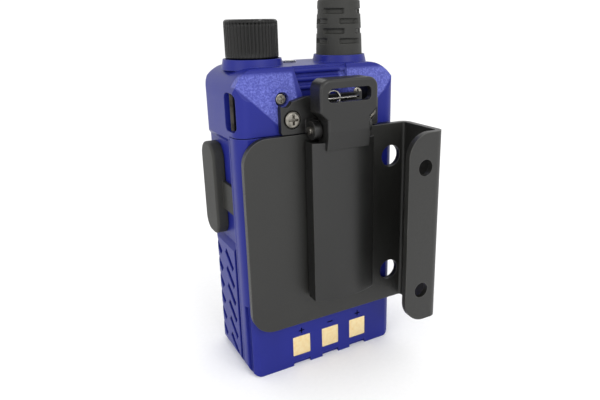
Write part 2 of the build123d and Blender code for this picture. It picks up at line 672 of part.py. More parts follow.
def microphone():
    """Electret capsule behind its sound hole."""
    return rod_y(MIC_X, MIC_Z, CAVITY_FRONT + 0.1, BOARD_FRONT_Y - 0.1, MIC_RADIUS)


def volume_control():
    """Rotary volume control: body under the bulkhead and a threaded bushing."""
    top = CHASSIS_TOP - TOP_MOUNT_THICK
    body = pad_z(KNOB_X, 0, CONTROL_WIDTH, CONTROL_WIDTH, top - CONTROL_HEIGHT, top, 1.0)
    body += rod_z(KNOB_X, 0, top, COLLAR_FLOOR - 0.6, BUSHING_RADIUS)
    return body - rod_z(KNOB_X, 0, top - SHAFT_SINK, TOOL, SHAFT_RADIUS + PIN_CLEARANCE)


def volume_shaft():
    """Shaft that the knob pushes on to."""
    low = CHASSIS_TOP - TOP_MOUNT_THICK - SHAFT_SINK + 0.2
    high = COLLAR_FLOOR + KNOB_HEIGHT - KNOB_CAP
    shaft = rod_z(KNOB_X, 0, low, high, SHAFT_RADIUS)
    flat = block(KNOB_X + SHAFT_RADIUS - SHAFT_FLAT, TOOL, -TOOL, TOOL, COLLAR_FLOOR + 2, TOOL)
    return shaft - flat


def volume_knob():
    """Ribbed knob with a pointer notch on its top edge."""
    base = COLLAR_FLOOR + TURN_CLEARANCE
    top = base + KNOB_HEIGHT
    knob = rod_z(KNOB_X, 0, base, top, KNOB_RADIUS)
    knob = chamfer(knob.edges().group_by(Axis.Z)[0], KNOB_EDGE)
    knob = fillet(knob.edges().group_by(Axis.Z)[-1], KNOB_EDGE)
    for rib in range(KNOB_RIBS):
        groove = rod_z(KNOB_RADIUS, 0, base + 1.5 * KNOB_EDGE, top - 1.4 * KNOB_EDGE, KNOB_RIB_DEPTH)
        knob -= Pos(KNOB_X, 0, 0) * Rot(0, 0, rib * 360 / KNOB_RIBS) * groove
    knob -= volume_shaft()
    half = POINTER_WIDTH / 2
    notch = block(KNOB_X - half, KNOB_X + half, -KNOB_RADIUS, -KNOB_RADIUS * 0.45,
                  top - POINTER_WIDTH / 2, top + 1)
    return knob - notch


def antenna_socket():
    """Coaxial socket: flange under the bulkhead and the threaded post."""
    flange_top = CHASSIS_TOP - TOP_MOUNT_THICK
    socket = rod_z(ANTENNA_X, 0, flange_top - 1.5, flange_top, CONNECTOR_RADIUS + 1.2)
    socket += rod_z(ANTENNA_X, 0, flange_top, COLLAR_FLOOR - 0.6, CONNECTOR_RADIUS)
    socket += rod_z(ANTENNA_X, 0, COLLAR_FLOOR - 0.6, COLLAR_FLOOR + SOCKET_POST, THREAD_RADIUS)
    socket -= rod_z(ANTENNA_X, 0, COLLAR_FLOOR + 1, TOOL * 3, THREAD_RADIUS - 0.9)
    return socket + rod_z(ANTENNA_X, 0, COLLAR_FLOOR, COLLAR_FLOOR + SOCKET_POST - 1, 0.45)


def antenna_connector():
    """Brass insert in the antenna's foot that screws over the socket."""
    base = COLLAR_FLOOR + TURN_CLEARANCE
    insert = rod_z(ANTENNA_X, 0, base, base + CONNECTOR_HEIGHT, CONNECTOR_RADIUS)
    return insert - rod_z(ANTENNA_X, 0, base - 1, base + CONNECTOR_HEIGHT - 1,
                          THREAD_RADIUS + PIN_CLEARANCE)


def antenna_base():
    """Antenna's foot: plain ring, then a neck cut with rows of relief windows."""
    base = COLLAR_FLOOR + TURN_CLEARANCE
    neck = base + ANTENNA_RING
    foot = rod_z(ANTENNA_X, 0, base, neck, ANTENNA_BASE_RADIUS)
    foot = fillet(foot.edges().group_by(Axis.Z)[-1], 0.5)
    foot += rod_z(ANTENNA_X, 0, neck, neck + ANTENNA_NECK_HEIGHT, ANTENNA_NECK_RADIUS)
    for row in range(ANTENNA_WINDOW_ROWS):
        z = neck + ANTENNA_WINDOW_GAP + row * ANTENNA_WINDOW_PITCH
        disc_top = z + ANTENNA_WINDOW_PITCH - ANTENNA_WINDOW_GAP
        foot += rod_z(ANTENNA_X, 0, z, disc_top, ANTENNA_BASE_RADIUS - 0.15 * (row + 1))
    return foot - antenna_connector_room()


def antenna_connector_room():
    """Space in the antenna's foot that the brass insert fills."""
    base = COLLAR_FLOOR + TURN_CLEARANCE
    return rod_z(ANTENNA_X, 0, base - 1, base + CONNECTOR_HEIGHT, CONNECTOR_RADIUS)


def antenna_whip():
    """Tapered flexible whip with a rounded tip."""
    base = COLLAR_FLOOR + TURN_CLEARANCE + ANTENNA_RING + ANTENNA_NECK_HEIGHT
    top = COLLAR_FLOOR + ANTENNA_LENGTH
    whip = cone_z(ANTENNA_X, 0, base, top, ANTENNA_NECK_RADIUS - 0.6, ANTENNA_TIP_RADIUS)
    return fillet(whip.edges().group_by(Axis.Z)[-1], ANTENNA_TIP_RADIUS * 0.7)


def torch_lens():
    """Clear lens of the torch in the top face."""
    top = BODY_HEIGHT + 0.6
    lens = rod_z(TORCH_X, TORCH_Y, CAVITY_TOP, top, TORCH_RADIUS)
    return fillet(lens.edges().group_by(Axis.Z)[-1], 0.9)


def torch_lamp():
    """Lamp under the lens."""
    return rod_z(TORCH_X, TORCH_Y, CAVITY_TOP - 7.0, CAVITY_TOP - 0.2, TORCH_RADIUS - 0.3)


def status_light():
    """Light pipe beside the torch."""
    return rod_z(LIGHT_X, TORCH_Y, CAVITY_TOP - 3.0, BODY_HEIGHT + 0.2, LIGHT_RADIUS)


def jack_block():
    """Block with the two accessory sockets."""
    x1 = CAVITY_HALF - 0.1
    body = pad_x(JACK_Y, JACK_Z, JACK_DEPTH, 2 * JACK_SPACING - 1, x1 - 9.0, x1, 1.0)
    for z, radius in jack_places():
        body -= rod_x(JACK_Y, z, x1 - 8.0, x1 + 1, radius)
    return body


def side_switches():
    """Small board with one tact switch behind each side key."""
    inner = CHASSIS_HALF - CHASSIS_WALL
    face = -inner + 0.6
    low = MONITOR_KEY_Z - 4.0
    high = CALL_KEY_Z + 4.0
    board = pad_x(SIDE_KEY_Y, (low + high) / 2, 6.4, high - low,
                  face + SWITCH_HEIGHT, face + SWITCH_HEIGHT + 1.0, 0.5)
    for _, z, _ in side_keys():
        board += pad_x(SIDE_KEY_Y, z, 4.5, 4.5, face, face + SWITCH_HEIGHT, 0.4)
    return board


def battery_springs():
    """Spring-loaded contact pins in the chassis floor."""
    pins = []
    for x in terminal_places():
        pins.append(rod_y(x, TERMINAL_Z, CHASSIS_FLOOR_Y - 4.5, CHASSIS_FLOOR_Y + 0.2,
                          TERMINAL_RADIUS))
    return Compound(children=pins)


# ------------------------------------------------------------------ keys that move
def side_key(z, height):
    """Key on the talk side: rounded cap and the stem that presses its switch."""
    outer = -RECESS_X - SIDE_KEY_PROUD
    cap = pad_x(SIDE_KEY_Y, z, SIDE_KEY_WIDTH, height, outer, -CAVITY_HALF - 0.6, 1.2)
    cap = fillet(cap.edges().group_by(Axis.X)[0], 0.8)
    inner = CHASSIS_HALF - CHASSIS_WALL
    return cap + rod_x(SIDE_KEY_Y, z, -CAVITY_HALF - 1, -inner + 0.6 - SWITCH_GAP, STEM_RADIUS)


def keypad_key(x, z, width=KEY_WIDTH, height=KEY_HEIGHT):
    """Front key with a softened edge."""
    key = front_key(x, z, width, height)
    return fillet(key.edges().group_by(Axis.Y)[0], 0.5)


def jack_cover():
    """Rubber cover over the sockets, with the tether and bead it swings on."""
    inner = RECESS_X + COVER_GAP
    outer = HALF_WIDTH + COVER_PROUD
    middle_y = (COVER_BACK_Y + COVER_FRONT_Y) / 2
    middle_z = (COVER_BOTTOM + COVER_TOP) / 2
    width = COVER_BACK_Y - COVER_FRONT_Y
    cap = pad_x(middle_y, middle_z, width, COVER_TOP - COVER_BOTTOM, inner, outer, width * 0.4)
    cap = fillet(cap.edges().group_by(Axis.X)[-1], COVER_EDGE)
    low = COVER_TAB_Z - COVER_TAB_HEIGHT / 2
    high = COVER_TAB_Z + COVER_TAB_HEIGHT / 2
    tether = block(inner, inner + COVER_TAB_THICK, COVER_BACK_Y - 1, COVER_BEAD_Y, low, high)
    bead_x = RECESS_X + COVER_BEAD_RADIUS - COVER_BEAD_SINK
    return cap + tether + rod_z(bead_x, COVER_BEAD_Y, low, high, COVER_BEAD_RADIUS)


# ---------------------------------------------------------------------- battery
def contact_places():
    """X of the charging contacts."""
    return [CONTACT_CENTRE_X + step * CONTACT_PITCH for step in (-1, 0, 1)]


def battery_case():
    """Outer half of the battery: the radio's lower back."""
    shell = envelope() & block(-TOOL, TOOL, BATTERY_SEAM_Y, BATTERY_BACK, -1, BATTERY_HEIGHT)
    half = HALF_WIDTH - BATTERY_WALL - 0.6
    shell -= block(-half, half, BATTERY_SEAM_Y - 1, BATTERY_BACK - BATTERY_WALL,
                   BATTERY_WALL + 1.2, BATTERY_HEIGHT - BATTERY_WALL)
    for x in contact_places():
        shell -= block(x - CONTACT_WIDTH / 2 - 0.1, x + CONTACT_WIDTH / 2 + 0.1,
                       BATTERY_BACK - CONTACT_THICK - CONTACT_SINK, TOOL,
                       CONTACT_Z - CONTACT_HEIGHT / 2 - 0.1, CONTACT_Z + CONTACT_HEIGHT / 2 + 0.1)
        shell -= block(x - CONTACT_WIDTH / 2, x + CONTACT_WIDTH / 2, BATTERY_BACK - 1.2, TOOL,
                       -1, 1.6)
    for side in (-1, 1):
        x0, x1 = sorted((side * (HALF_WIDTH - CRADLE_GROOVE_DEPTH), side * (HALF_WIDTH + 1)))
        shell -= block(x0, x1, BATTERY_BACK - 3.2, BATTERY_BACK - 1.4, -1, CRADLE_GROOVE_TOP)
    shell -= pad_y(CLIP_X, LATCH_Z, LATCH_WIDTH + 0.6, LATCH_HEIGHT + 0.6,
                   BATTERY_BACK - LATCH_DEPTH - 1, TOOL, 1.5)
    return shell


def battery_latch():
    """Release button in the battery's back, ribbed for the thumb."""
    button = pad_y(CLIP_X, LATCH_Z, LATCH_WIDTH, LATCH_HEIGHT,
                   BATTERY_BACK - LATCH_DEPTH, BATTERY_BACK - 0.3, 1.2)
    for rib in (-2, -1, 0, 1, 2):
        button -= rod_x(BATTERY_BACK - 0.2, LATCH_Z + rib * 1.2, -TOOL, TOOL, 0.35)
    return button


def latch_spring():
    """Coil behind the release button, drawn as its sleeve."""
    y0 = BATTERY_SEAM_Y + 1.4
    y1 = BATTERY_BACK - LATCH_DEPTH - LATCH_TRAVEL - 0.1
    coil = rod_y(CLIP_X, LATCH_Z, y0, y1, 2.2)
    return coil - rod_y(CLIP_X, LATCH_Z, y0 - 1, y1 + 1, 1.5)


def battery_inner_shell():
    """Inner half of the battery, which fills the case's bay."""
    top = BATTERY_HEIGHT - 3.7
    base = CAVITY_BASE + 1.2
    middle = (top + base) / 2
    tray = pad_y(0, middle, 2 * BATTERY_INNER_HALF, top - base, BATTERY_INNER_Y,
                 BATTERY_SEAM_Y + 1.2, CAVITY_RADIUS)
    rim_half = HALF_WIDTH - BATTERY_WALL - 0.7
    tray += block(-rim_half, rim_half, BATTERY_SEAM_Y, BATTERY_SEAM_Y + 1.2,
                  BATTERY_WALL + 1.3, BATTERY_HEIGHT - BATTERY_WALL - 0.1)
    wall = 1.5
    tray -= pad_y(0, middle, 2 * (BATTERY_INNER_HALF - wall), top - base - 2 * wall,
                  BATTERY_INNER_Y + wall, TOOL, 1.0)
    for x in terminal_places():
        tray -= rod_y(x, TERMINAL_Z, -TOOL, TOOL, TERMINAL_RADIUS + 0.6)
    return tray


def battery_cells():
    """Two flat rechargeable cells side by side."""
    half = BATTERY_INNER_HALF - 1.9
    y0 = BATTERY_INNER_Y + 1.9
    y1 = BATTERY_BACK - BATTERY_WALL - 0.6
    base = TERMINAL_Z + 4.0
    cells = []
    for side in (-1, 1):
        x = side * (half + CELL_GAP / 2) / 2
        cells.append(pad_y(x, (base + CELL_TOP) / 2, half - CELL_GAP / 2, CELL_TOP - base,
                           y0, y1, 2.0))
    return Compound(children=cells)


def battery_board():
    """Protection board at the foot of the cells, behind the terminals."""
    y0 = BATTERY_INNER_Y + 1.7
    return pad_y(0, TERMINAL_Z, 2 * TERMINAL_SPREAD + 8, 7.0, y0, y0 + 1.0, 0.8)


def battery_terminals():
    """Pads on the battery's inner face that meet the chassis's contact pins."""
    pads = []
    for x in terminal_places():
        pads.append(rod_y(x, TERMINAL_Z, BATTERY_INNER_Y + 0.3, BATTERY_INNER_Y + 1.7,
                          TERMINAL_RADIUS + 0.5))
    return Compound(children=pads)


def charge_contacts():
    """Three flat plates in the battery's back, for the charging cradle."""
    plates = []
    for x in contact_places():
        plates.append(pad_y(x, CONTACT_Z, CONTACT_WIDTH, CONTACT_HEIGHT,
                            BATTERY_BACK - CONTACT_THICK - CONTACT_SINK, BATTERY_BACK - CONTACT_SINK, 0.4))
    return Compound(children=plates)


# -------------------------------------------------------------------- belt clip
def clip_base():
    """Plate screwed to the shoulder, with the two ears that hold the hinge pin."""
    left = CLIP_BASE_X - CLIP_BASE_HALF
    right = CLIP_BASE_X + CLIP_BASE_HALF
    outline = make_face(Polyline(
        (left, CLIP_BASE_BOTTOM),
        (right, CLIP_BASE_BOTTOM),
        (right, CLIP_BASE_TOP - CLIP_BASE_SLOPE),
        (CLIP_X + TAB_HALF, CLIP_BASE_TOP),
        (CLIP_X - TAB_HALF, CLIP_BASE_TOP),
        (left, CLIP_BASE_TOP - CLIP_BASE_SLOPE),
        close=True,
    ))
    outline = fillet(outline.vertices(), CLIP_BASE_CORNER)
    base = Pos(0, CLIP_SEAT_Y, 0) * extrude(Plane.XZ * outline, CLIP_BASE_THICK)
    for side in (-1, 1):
        near = CLIP_X + side * (NECK_HALF + EAR_GAP)
        x0, x1 = sorted((near, near + side * EAR_THICK))
        base += rod_x(PIVOT_Y, PIVOT_Z, x0, x1, EAR_RADIUS)
        base += block(x0, x1, CLIP_SEAT_Y - 0.1, PIVOT_Y, PIVOT_Z - EAR_RADIUS + 1.7,
                      PIVOT_Z + EAR_RADIUS)
    base -= rod_x(PIVOT_Y, PIVOT_Z, -TOOL, TOOL, PIN_RADIUS)
    for x in clip_screw_places():
        base -= rod_y(x, CLIP_SCREW_Z, 0, TOOL, CLIP_SHANK_RADIUS + 0.15)
        base -= rod_y(x, CLIP_SCREW_Z, CLIP_SEAT_Y - CLIP_HEAD_SINK, TOOL, CLIP_HEAD_RADIUS + 0.3)
    base -= rod_y(CASE_SCREW_X, CASE_SCREW_Z, BACK_Y - 1, TOOL, CASE_SINK_RADIUS)
    return base


def clip_pin():
    """Hinge pin through both ears and the lever."""
    reach = NECK_HALF + EAR_GAP + EAR_THICK + 0.9
    return rod_x(PIVOT_Y, PIVOT_Z, CLIP_X - reach, CLIP_X + reach, PIN_RADIUS)


def clip_lever():
    """Sprung lever: crowned blade below the pin, slotted thumb tab above it."""
    blade = crowned_section(0.0, BLADE_BOTTOM, BLADE_TOP)
    blade -= crowned_section(LEVER_WALL, BLADE_BOTTOM + LEVER_WALL, BLADE_TOP + 1)
    heel_half = BLADE_HALF - 3
    blade += block(CLIP_X - heel_half, CLIP_X + heel_half, BRACKET_BACK_Y + 0.2, BLADE_EDGE_Y,
                   BLADE_BOTTOM, BLADE_BOTTOM + LEVER_WALL)
    tab = Pos(0, TAB_BACK_Y, 0) * extrude(Plane.XZ * tab_outline(0.0), TAB_BACK_Y - TAB_FRONT_Y)
    tab = fillet(tab.edges().group_by(Axis.Y)[-1], TAB_EDGE)
    # Below the ears the tab's back slopes in until it meets the blade's crown.
    crown = BLADE_EDGE_Y + BLADE_CROWN
    tab -= prism_x((
        (TAB_BACK_Y + 1, NECK_BOTTOM - 1),
        (crown - NECK_LIP, NECK_BOTTOM - 1),
        (crown + NECK_LIP, NECK_BOTTOM),
        (TAB_BACK_Y, PIVOT_Z),
        (TAB_BACK_Y + 1, PIVOT_Z),
    ), -TOOL, TOOL)
    hollow = extrude(Plane.XZ * tab_outline(TAB_WALL), TOOL)
    tab -= Pos(0, TAB_BACK_Y - LEVER_WALL, 0) * hollow
    tab -= pad_y(CLIP_X, TAB_SLOT_Z, TAB_SLOT_WIDTH, TAB_SLOT_HEIGHT,
                 TAB_BACK_Y - LEVER_WALL - 1, TAB_BACK_Y + 1, TAB_SLOT_HEIGHT * 0.35)
    for side in (-1, 1):
        x0, x1 = sorted((CLIP_X + side * (NECK_HALF - TAB_WALL), CLIP_X + side * NECK_HALF))
        tab += rod_x(PIVOT_Y, PIVOT_Z, x0, x1, EAR_RADIUS)
    lever = blade + tab
    return lever - rod_x(PIVOT_Y, PIVOT_Z, -TOOL, TOOL, PIN_RADIUS + PIN_CLEARANCE)


def tab_outline(wall):
    """Tab seen from the back, wide above the ears and narrow between them, taken in by wall."""
    neck = NECK_HALF - wall
    wide = TAB_HALF - wall
    outline = make_face(Polyline(
        (CLIP_X - neck, NECK_BOTTOM - wall),
        (CLIP_X + neck, NECK_BOTTOM - wall),
        (CLIP_X + neck, NECK_TOP + wall / 2),
        (CLIP_X + wide, TAB_LOW + wall / 2),
        (CLIP_X + wide, TAB_TOP - wall),
        (CLIP_X - wide, TAB_TOP - wall),
        (CLIP_X - wide, TAB_LOW + wall / 2),
        (CLIP_X - neck, NECK_TOP + wall / 2),
        close=True,
    ))
    return fillet(outline.vertices().group_by(Axis.Y)[-1], TAB_CORNER - wall)


def crowned_section(wall, z0, z1):
    """Blade's outline, flat-sided with an arched back, taken in by wall and carried up Z."""
    half = BLADE_HALF - wall
    edge = BLADE_EDGE_Y - wall
    crown = BLADE_EDGE_Y + BLADE_CROWN - wall
    front = BRACKET_BACK_Y + 1.0 - wall
    left = CLIP_X - half
    right = CLIP_X + half
    outline = (
        Polyline((left, edge), (left, front), (right, front), (right, edge))
        + ThreePointArc((right, edge), (CLIP_X, crown), (left, edge))
    )
    return Pos(0, 0, z0) * extrude(make_face(outline), z1 - z0)


def clip_spring():
    """Torsion spring on the pin: coil drawn as its sleeve, and one leg up the tab."""
    coil = rod_x(PIVOT_Y, PIVOT_Z, CLIP_X - SPRING_HALF, CLIP_X + SPRING_HALF,
                 PIN_RADIUS + 0.25 + 2 * SPRING_WIRE)
    coil -= rod_x(PIVOT_Y, PIVOT_Z, -TOOL, TOOL, PIN_RADIUS + 0.25)
    leg_x = CLIP_X + SPRING_HALF - SPRING_WIRE
    leg_y = PIVOT_Y + 2 * SPRING_WIRE
    leg = rod_z(leg_x, leg_y, PIVOT_Z + PIN_RADIUS + SPRING_WIRE, TAB_SLOT_Z, SPRING_WIRE)
    rest = rod_x(leg_y, TAB_SLOT_Z - SPRING_WIRE, -leg_x + 2 * CLIP_X, leg_x, SPRING_WIRE)
    return coil + leg + rest


def clip_screws():
    """The two screws that hold the belt clip."""
    screws = []
    for x in clip_screw_places():
        screws.append(pan_screw(x, CLIP_SCREW_Z, CLIP_SEAT_Y - CLIP_HEAD_SINK, CLIP_HEAD_RADIUS,
                                CLIP_HEAD_HEIGHT,
                                CLIP_SHANK_RADIUS, CLIP_SHANK_LENGTH))
    return Compound(children=screws)


def case_screws():
    """The two sunk screws in the shoulder."""
    screws = []
    for x in case_screw_places():
        screws.append(pan_screw(x, CASE_SCREW_Z, BACK_Y - CASE_SCREW_SINK, CASE_HEAD_RADIUS,
                                CASE_HEAD_HEIGHT,
                                CASE_SHANK_RADIUS, CASE_SHANK_LENGTH))
    return Compound(children=screws)


# ---------------------------------------------------------------------- bracket
def mount_bracket():
    """Folded plate that the clip grips, with a bolt flange folded back beside it."""
    plate_front = BRACKET_BACK_Y - BRACKET_THICK
    web_inner = BRACKET_LEFT + BRACKET_THICK
    flange_back = BRACKET_BACK_Y + BRACKET_WEB_DEPTH
    flange_front = flange_back - BRACKET_THICK
    flange_end = BRACKET_LEFT + BRACKET_FLANGE
    section = make_face(Polyline(
        (BRACKET_RIGHT, plate_front),
        (BRACKET_RIGHT, BRACKET_BACK_Y),
        (web_inner, BRACKET_BACK_Y),
        (web_inner, flange_front),
        (flange_end, flange_front),
        (flange_end, flange_back),
        (BRACKET_LEFT, flange_back),
        (BRACKET_LEFT, plate_front),
        close=True,
    ))
    corners = section.vertices().sort_by(Axis.X)
    section = fillet(corners[:2], BRACKET_BEND + BRACKET_THICK)
    inside = [v for v in section.vertices() if abs(v.X - web_inner) < 0.01]
    section = fillet(inside, BRACKET_BEND)
    sheet = Pos(0, 0, BRACKET_BOTTOM) * extrude(section, BRACKET_HEIGHT)
    sheet -= corner_cuts(BRACKET_RIGHT, plate_front - 1, BRACKET_BACK_Y + 1)
    sheet -= corner_cuts(flange_end, flange_front - 1, flange_back + 1)
    for side in (-1, 1):
        z = BRACKET_MIDDLE_Z + side * BRACKET_HOLE_SPACING / 2
        sheet -= rod_y(BRACKET_HOLE_X, z, 0, BRACKET_BACK_Y + 2, BRACKET_ACCESS_RADIUS)
        sheet -= rod_y(BRACKET_HOLE_X, z, BRACKET_BACK_Y + 2, TOOL, BRACKET_BOLT_RADIUS)
    return sheet


def corner_cuts(x_edge, y0, y1):
    """What rounding the two free corners of a leaf that ends at x_edge takes away."""
    r = BRACKET_CORNER
    top = BRACKET_BOTTOM + BRACKET_HEIGHT
    cuts = block(x_edge - r, x_edge + 1, y0, y1, top - r, top + 1)
    cuts += block(x_edge - r, x_edge + 1, y0, y1, BRACKET_BOTTOM - 1, BRACKET_BOTTOM + r)
    cuts -= rod_y(x_edge - r, top - r, y0, y1, r)
    return cuts - rod_y(x_edge - r, BRACKET_BOTTOM + r, y0, y1, r)


# ------------------------------------------------------------------------ write
def all_nodes():
    """Every node's name and solid."""
    nodes = {
        "front_case": front_case(),
        "chassis": chassis(),
        "main_board": main_board(),
        "keypad_membrane": keypad_membrane(),
        "display_window": display_window(),
        "display_module": display_module(),
        "speaker": speaker(),
        "microphone": microphone(),
        "volume_control": volume_control(),
        "antenna_socket": antenna_socket(),
        "torch_lens": torch_lens(),
        "torch_lamp": torch_lamp(),
        "status_light": status_light(),
        "jack_block": jack_block(),
        "side_switches": side_switches(),
        "battery_springs": battery_springs(),
        "strap_bar": strap_bar(),
        "clip_base": clip_base(),
        "clip_pin": clip_pin(),
        "clip_spring": clip_spring(),
        "clip_screws": clip_screws(),
        "case_screws": case_screws(),
        "volume_shaft": volume_shaft(),
        "volume_knob": volume_knob(),
        "antenna_connector": antenna_connector(),
        "antenna_base": antenna_base(),
        "antenna_whip": antenna_whip(),
        "jack_cover": jack_cover(),
        "battery_case": battery_case(),
        "battery_inner_shell": battery_inner_shell(),
        "battery_cells": battery_cells(),
        "battery_board": battery_board(),
        "battery_terminals": battery_terminals(),
        "charge_contacts": charge_contacts(),
        "battery_latch": battery_latch(),
        "latch_spring": latch_spring(),
        "clip_lever": clip_lever(),
        "mount_bracket": mount_bracket(),
        "mode_key": keypad_key(-FUNCTION_KEY_X, FUNCTION_KEY_Z,
                               FUNCTION_KEY_WIDTH, FUNCTION_KEY_HEIGHT),
        "band_key": keypad_key(FUNCTION_KEY_X, FUNCTION_KEY_Z,
                               FUNCTION_KEY_WIDTH, FUNCTION_KEY_HEIGHT),
    }
    for name, z, height in side_keys():
        nodes[name] = side_key(z, height)
    for number, (x, z) in enumerate(key_places(), start=1):
        nodes[f"keypad_key_{number:02d}"] = keypad_key(x, z)
    return nodes


os.makedirs("parts", exist_ok=True)
for node, shape in all_nodes().items():
    export_step(shape, f"parts/{node}.step")
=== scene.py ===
import math

import bpy
import numpy as np
from bpy.props import FloatProperty, FloatVectorProperty, IntProperty, PointerProperty
from mathutils import Matrix, Vector


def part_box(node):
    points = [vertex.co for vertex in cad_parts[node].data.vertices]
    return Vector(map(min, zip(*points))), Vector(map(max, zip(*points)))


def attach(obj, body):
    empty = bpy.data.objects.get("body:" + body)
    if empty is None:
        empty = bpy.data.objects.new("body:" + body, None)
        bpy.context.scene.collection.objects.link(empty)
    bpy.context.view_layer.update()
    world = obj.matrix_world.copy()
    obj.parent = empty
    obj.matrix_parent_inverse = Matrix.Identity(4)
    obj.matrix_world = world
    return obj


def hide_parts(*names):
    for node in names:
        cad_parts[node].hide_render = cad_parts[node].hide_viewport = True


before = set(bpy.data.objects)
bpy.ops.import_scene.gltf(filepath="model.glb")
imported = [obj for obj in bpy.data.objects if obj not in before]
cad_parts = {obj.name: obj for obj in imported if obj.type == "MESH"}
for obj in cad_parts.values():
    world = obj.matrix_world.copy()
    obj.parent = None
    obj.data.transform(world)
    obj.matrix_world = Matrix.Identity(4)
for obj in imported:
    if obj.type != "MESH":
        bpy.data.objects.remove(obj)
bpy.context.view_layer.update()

MM = 0.001                  # every length below that is written in millimetres is times this

# How finely each surface is divided.
POINTS_PER_RIB = 8          # round the knob
ARC_ROWS = 8                # over the knob's rim
WALL_ROWS = 10              # up the knob's wall
FOOT_COLUMNS = 160          # round the antenna's foot
FOOT_ROWS = 130
WHIP_COLUMNS = 64
WHIP_ROWS = 60
TIP_ROWS = 12               # over the whip's tip
POINTS_PER_TURN = 24        # along the spring's wire
RUN_POINTS = 10             # along each straight run of the wire
FLOOR_LINES = 21

bl_info = {
    "name": "Two-way radio on a clip bracket",
    "version": (1, 0, 0),
    "blender": (4, 5, 0),
    "location": "3D View > Sidebar > Radio",
    "description": "Dresses the packed radio piece by piece in moulded, coated and plated finishes",
    "category": "Object",
}


# =============================================================== settings
class FinishSettings(bpy.types.PropertyGroup):
    """Sizes shared by the moulded and coated finishes."""

    fine_grain: FloatProperty(
        name="Fine grain", description="Size of one grain of the fine mould texture",
        default=0.32 * MM, min=0.05 * MM, unit="LENGTH", precision=5)
    spark_grain: FloatProperty(
        name="Spark grain", description="Size of one grain of the coarse texture on the shoulder facets",
        default=0.55 * MM, min=0.1 * MM, unit="LENGTH", precision=5)
    soft_edge: FloatProperty(
        name="Soft edge", description="Radius that moulded and coated edges look rounded to",
        default=0.45 * MM, min=0.0, unit="LENGTH", precision=5)
    patch: FloatProperty(
        name="Patch", description="Size of the slow patches where the tone drifts",
        default=14 * MM, min=MM, unit="LENGTH", precision=4)
    facet_slope: FloatProperty(
        name="Facet slope", description="Rise of the coarse texture's lower border for each unit outwards",
        default=0.95, min=0.0)
    facet_drop: FloatProperty(
        name="Facet drop", description="Depth of that border's middle under the collars' top",
        default=34.0 * MM, min=0.0, unit="LENGTH", precision=5)
    facet_top: FloatProperty(
        name="Facet top", description="Depth of the coarse texture's upper border under the collars' top",
        default=3.4 * MM, min=0.0, unit="LENGTH", precision=5)
    facet_depth: FloatProperty(
        name="Facet depth", description="How far in front of the back the coarse texture starts",
        default=4.8 * MM, min=0.0, unit="LENGTH", precision=5)
    facet_inner: FloatProperty(
        name="Facet inner border", description="Distance of the coarse texture from the middle",
        default=9.2 * MM, min=0.0, unit="LENGTH", precision=5)
    facet_blur: FloatProperty(
        name="Facet blur", description="How softly the coarse texture fades out at its borders",
        default=0.4 * MM, min=0.05 * MM, unit="LENGTH", precision=5)


class KnobSettings(bpy.types.PropertyGroup):
    """Volume knob."""

    ribs: IntProperty(name="Ribs", description="Upright ribs round the knob", default=44, min=8)
    rib_depth: FloatProperty(
        name="Rib depth", description="How deep the grooves between ribs are",
        default=0.42 * MM, min=0.0, unit="LENGTH", precision=5)
    edge: FloatProperty(
        name="Edge", description="Round of the knob's top edge and slope of its foot",
        default=1.0 * MM, min=0.1 * MM, unit="LENGTH", precision=5)
    mark_width: FloatProperty(
        name="Pointer width", description="Width of the pointer groove in the top",
        default=0.9 * MM, min=0.1 * MM, unit="LENGTH", precision=5)
    mark_depth: FloatProperty(
        name="Pointer depth", description="Depth of the pointer groove",
        default=0.45 * MM, min=0.0, unit="LENGTH", precision=5)
    dish: FloatProperty(
        name="Dish", description="Depth of the shallow dish in the knob's top",
        default=0.4 * MM, min=0.0, unit="LENGTH", precision=5)


class AntennaSettings(bpy.types.PropertyGroup):
    """Antenna foot and whip."""

    ring: FloatProperty(
        name="Plain ring", description="Height of the plain ring at the foot",
        default=3.4 * MM, min=MM, unit="LENGTH", precision=5)
    row_pitch: FloatProperty(
        name="Row pitch", description="Height from one row of relief windows to the next",
        default=3.2 * MM, min=MM, unit="LENGTH", precision=5)
    window_height: FloatProperty(
        name="Window height", description="Height of one relief window",
        default=1.5 * MM, min=0.2 * MM, unit="LENGTH", precision=5)
    window_depth: FloatProperty(
        name="Window depth", description="Depth of one relief window",
        default=1.1 * MM, min=0.1 * MM, unit="LENGTH", precision=5)
    window_edge: FloatProperty(
        name="Window edge", description="Half the height over which a window's edge rises",
        default=0.15 * MM, min=0.01 * MM, unit="LENGTH", precision=5)
    windows: IntProperty(name="Windows", description="Relief windows in one row", default=4, min=2)
    taper: FloatProperty(
        name="Foot taper", description="Share of its radius that the foot loses by its top",
        default=0.10, min=0.0, max=0.5)
    tip: FloatProperty(
        name="Tip", description="Radius of the whip's rounded tip, as a share of the whip's foot",
        default=0.66, min=0.2, max=1.0)


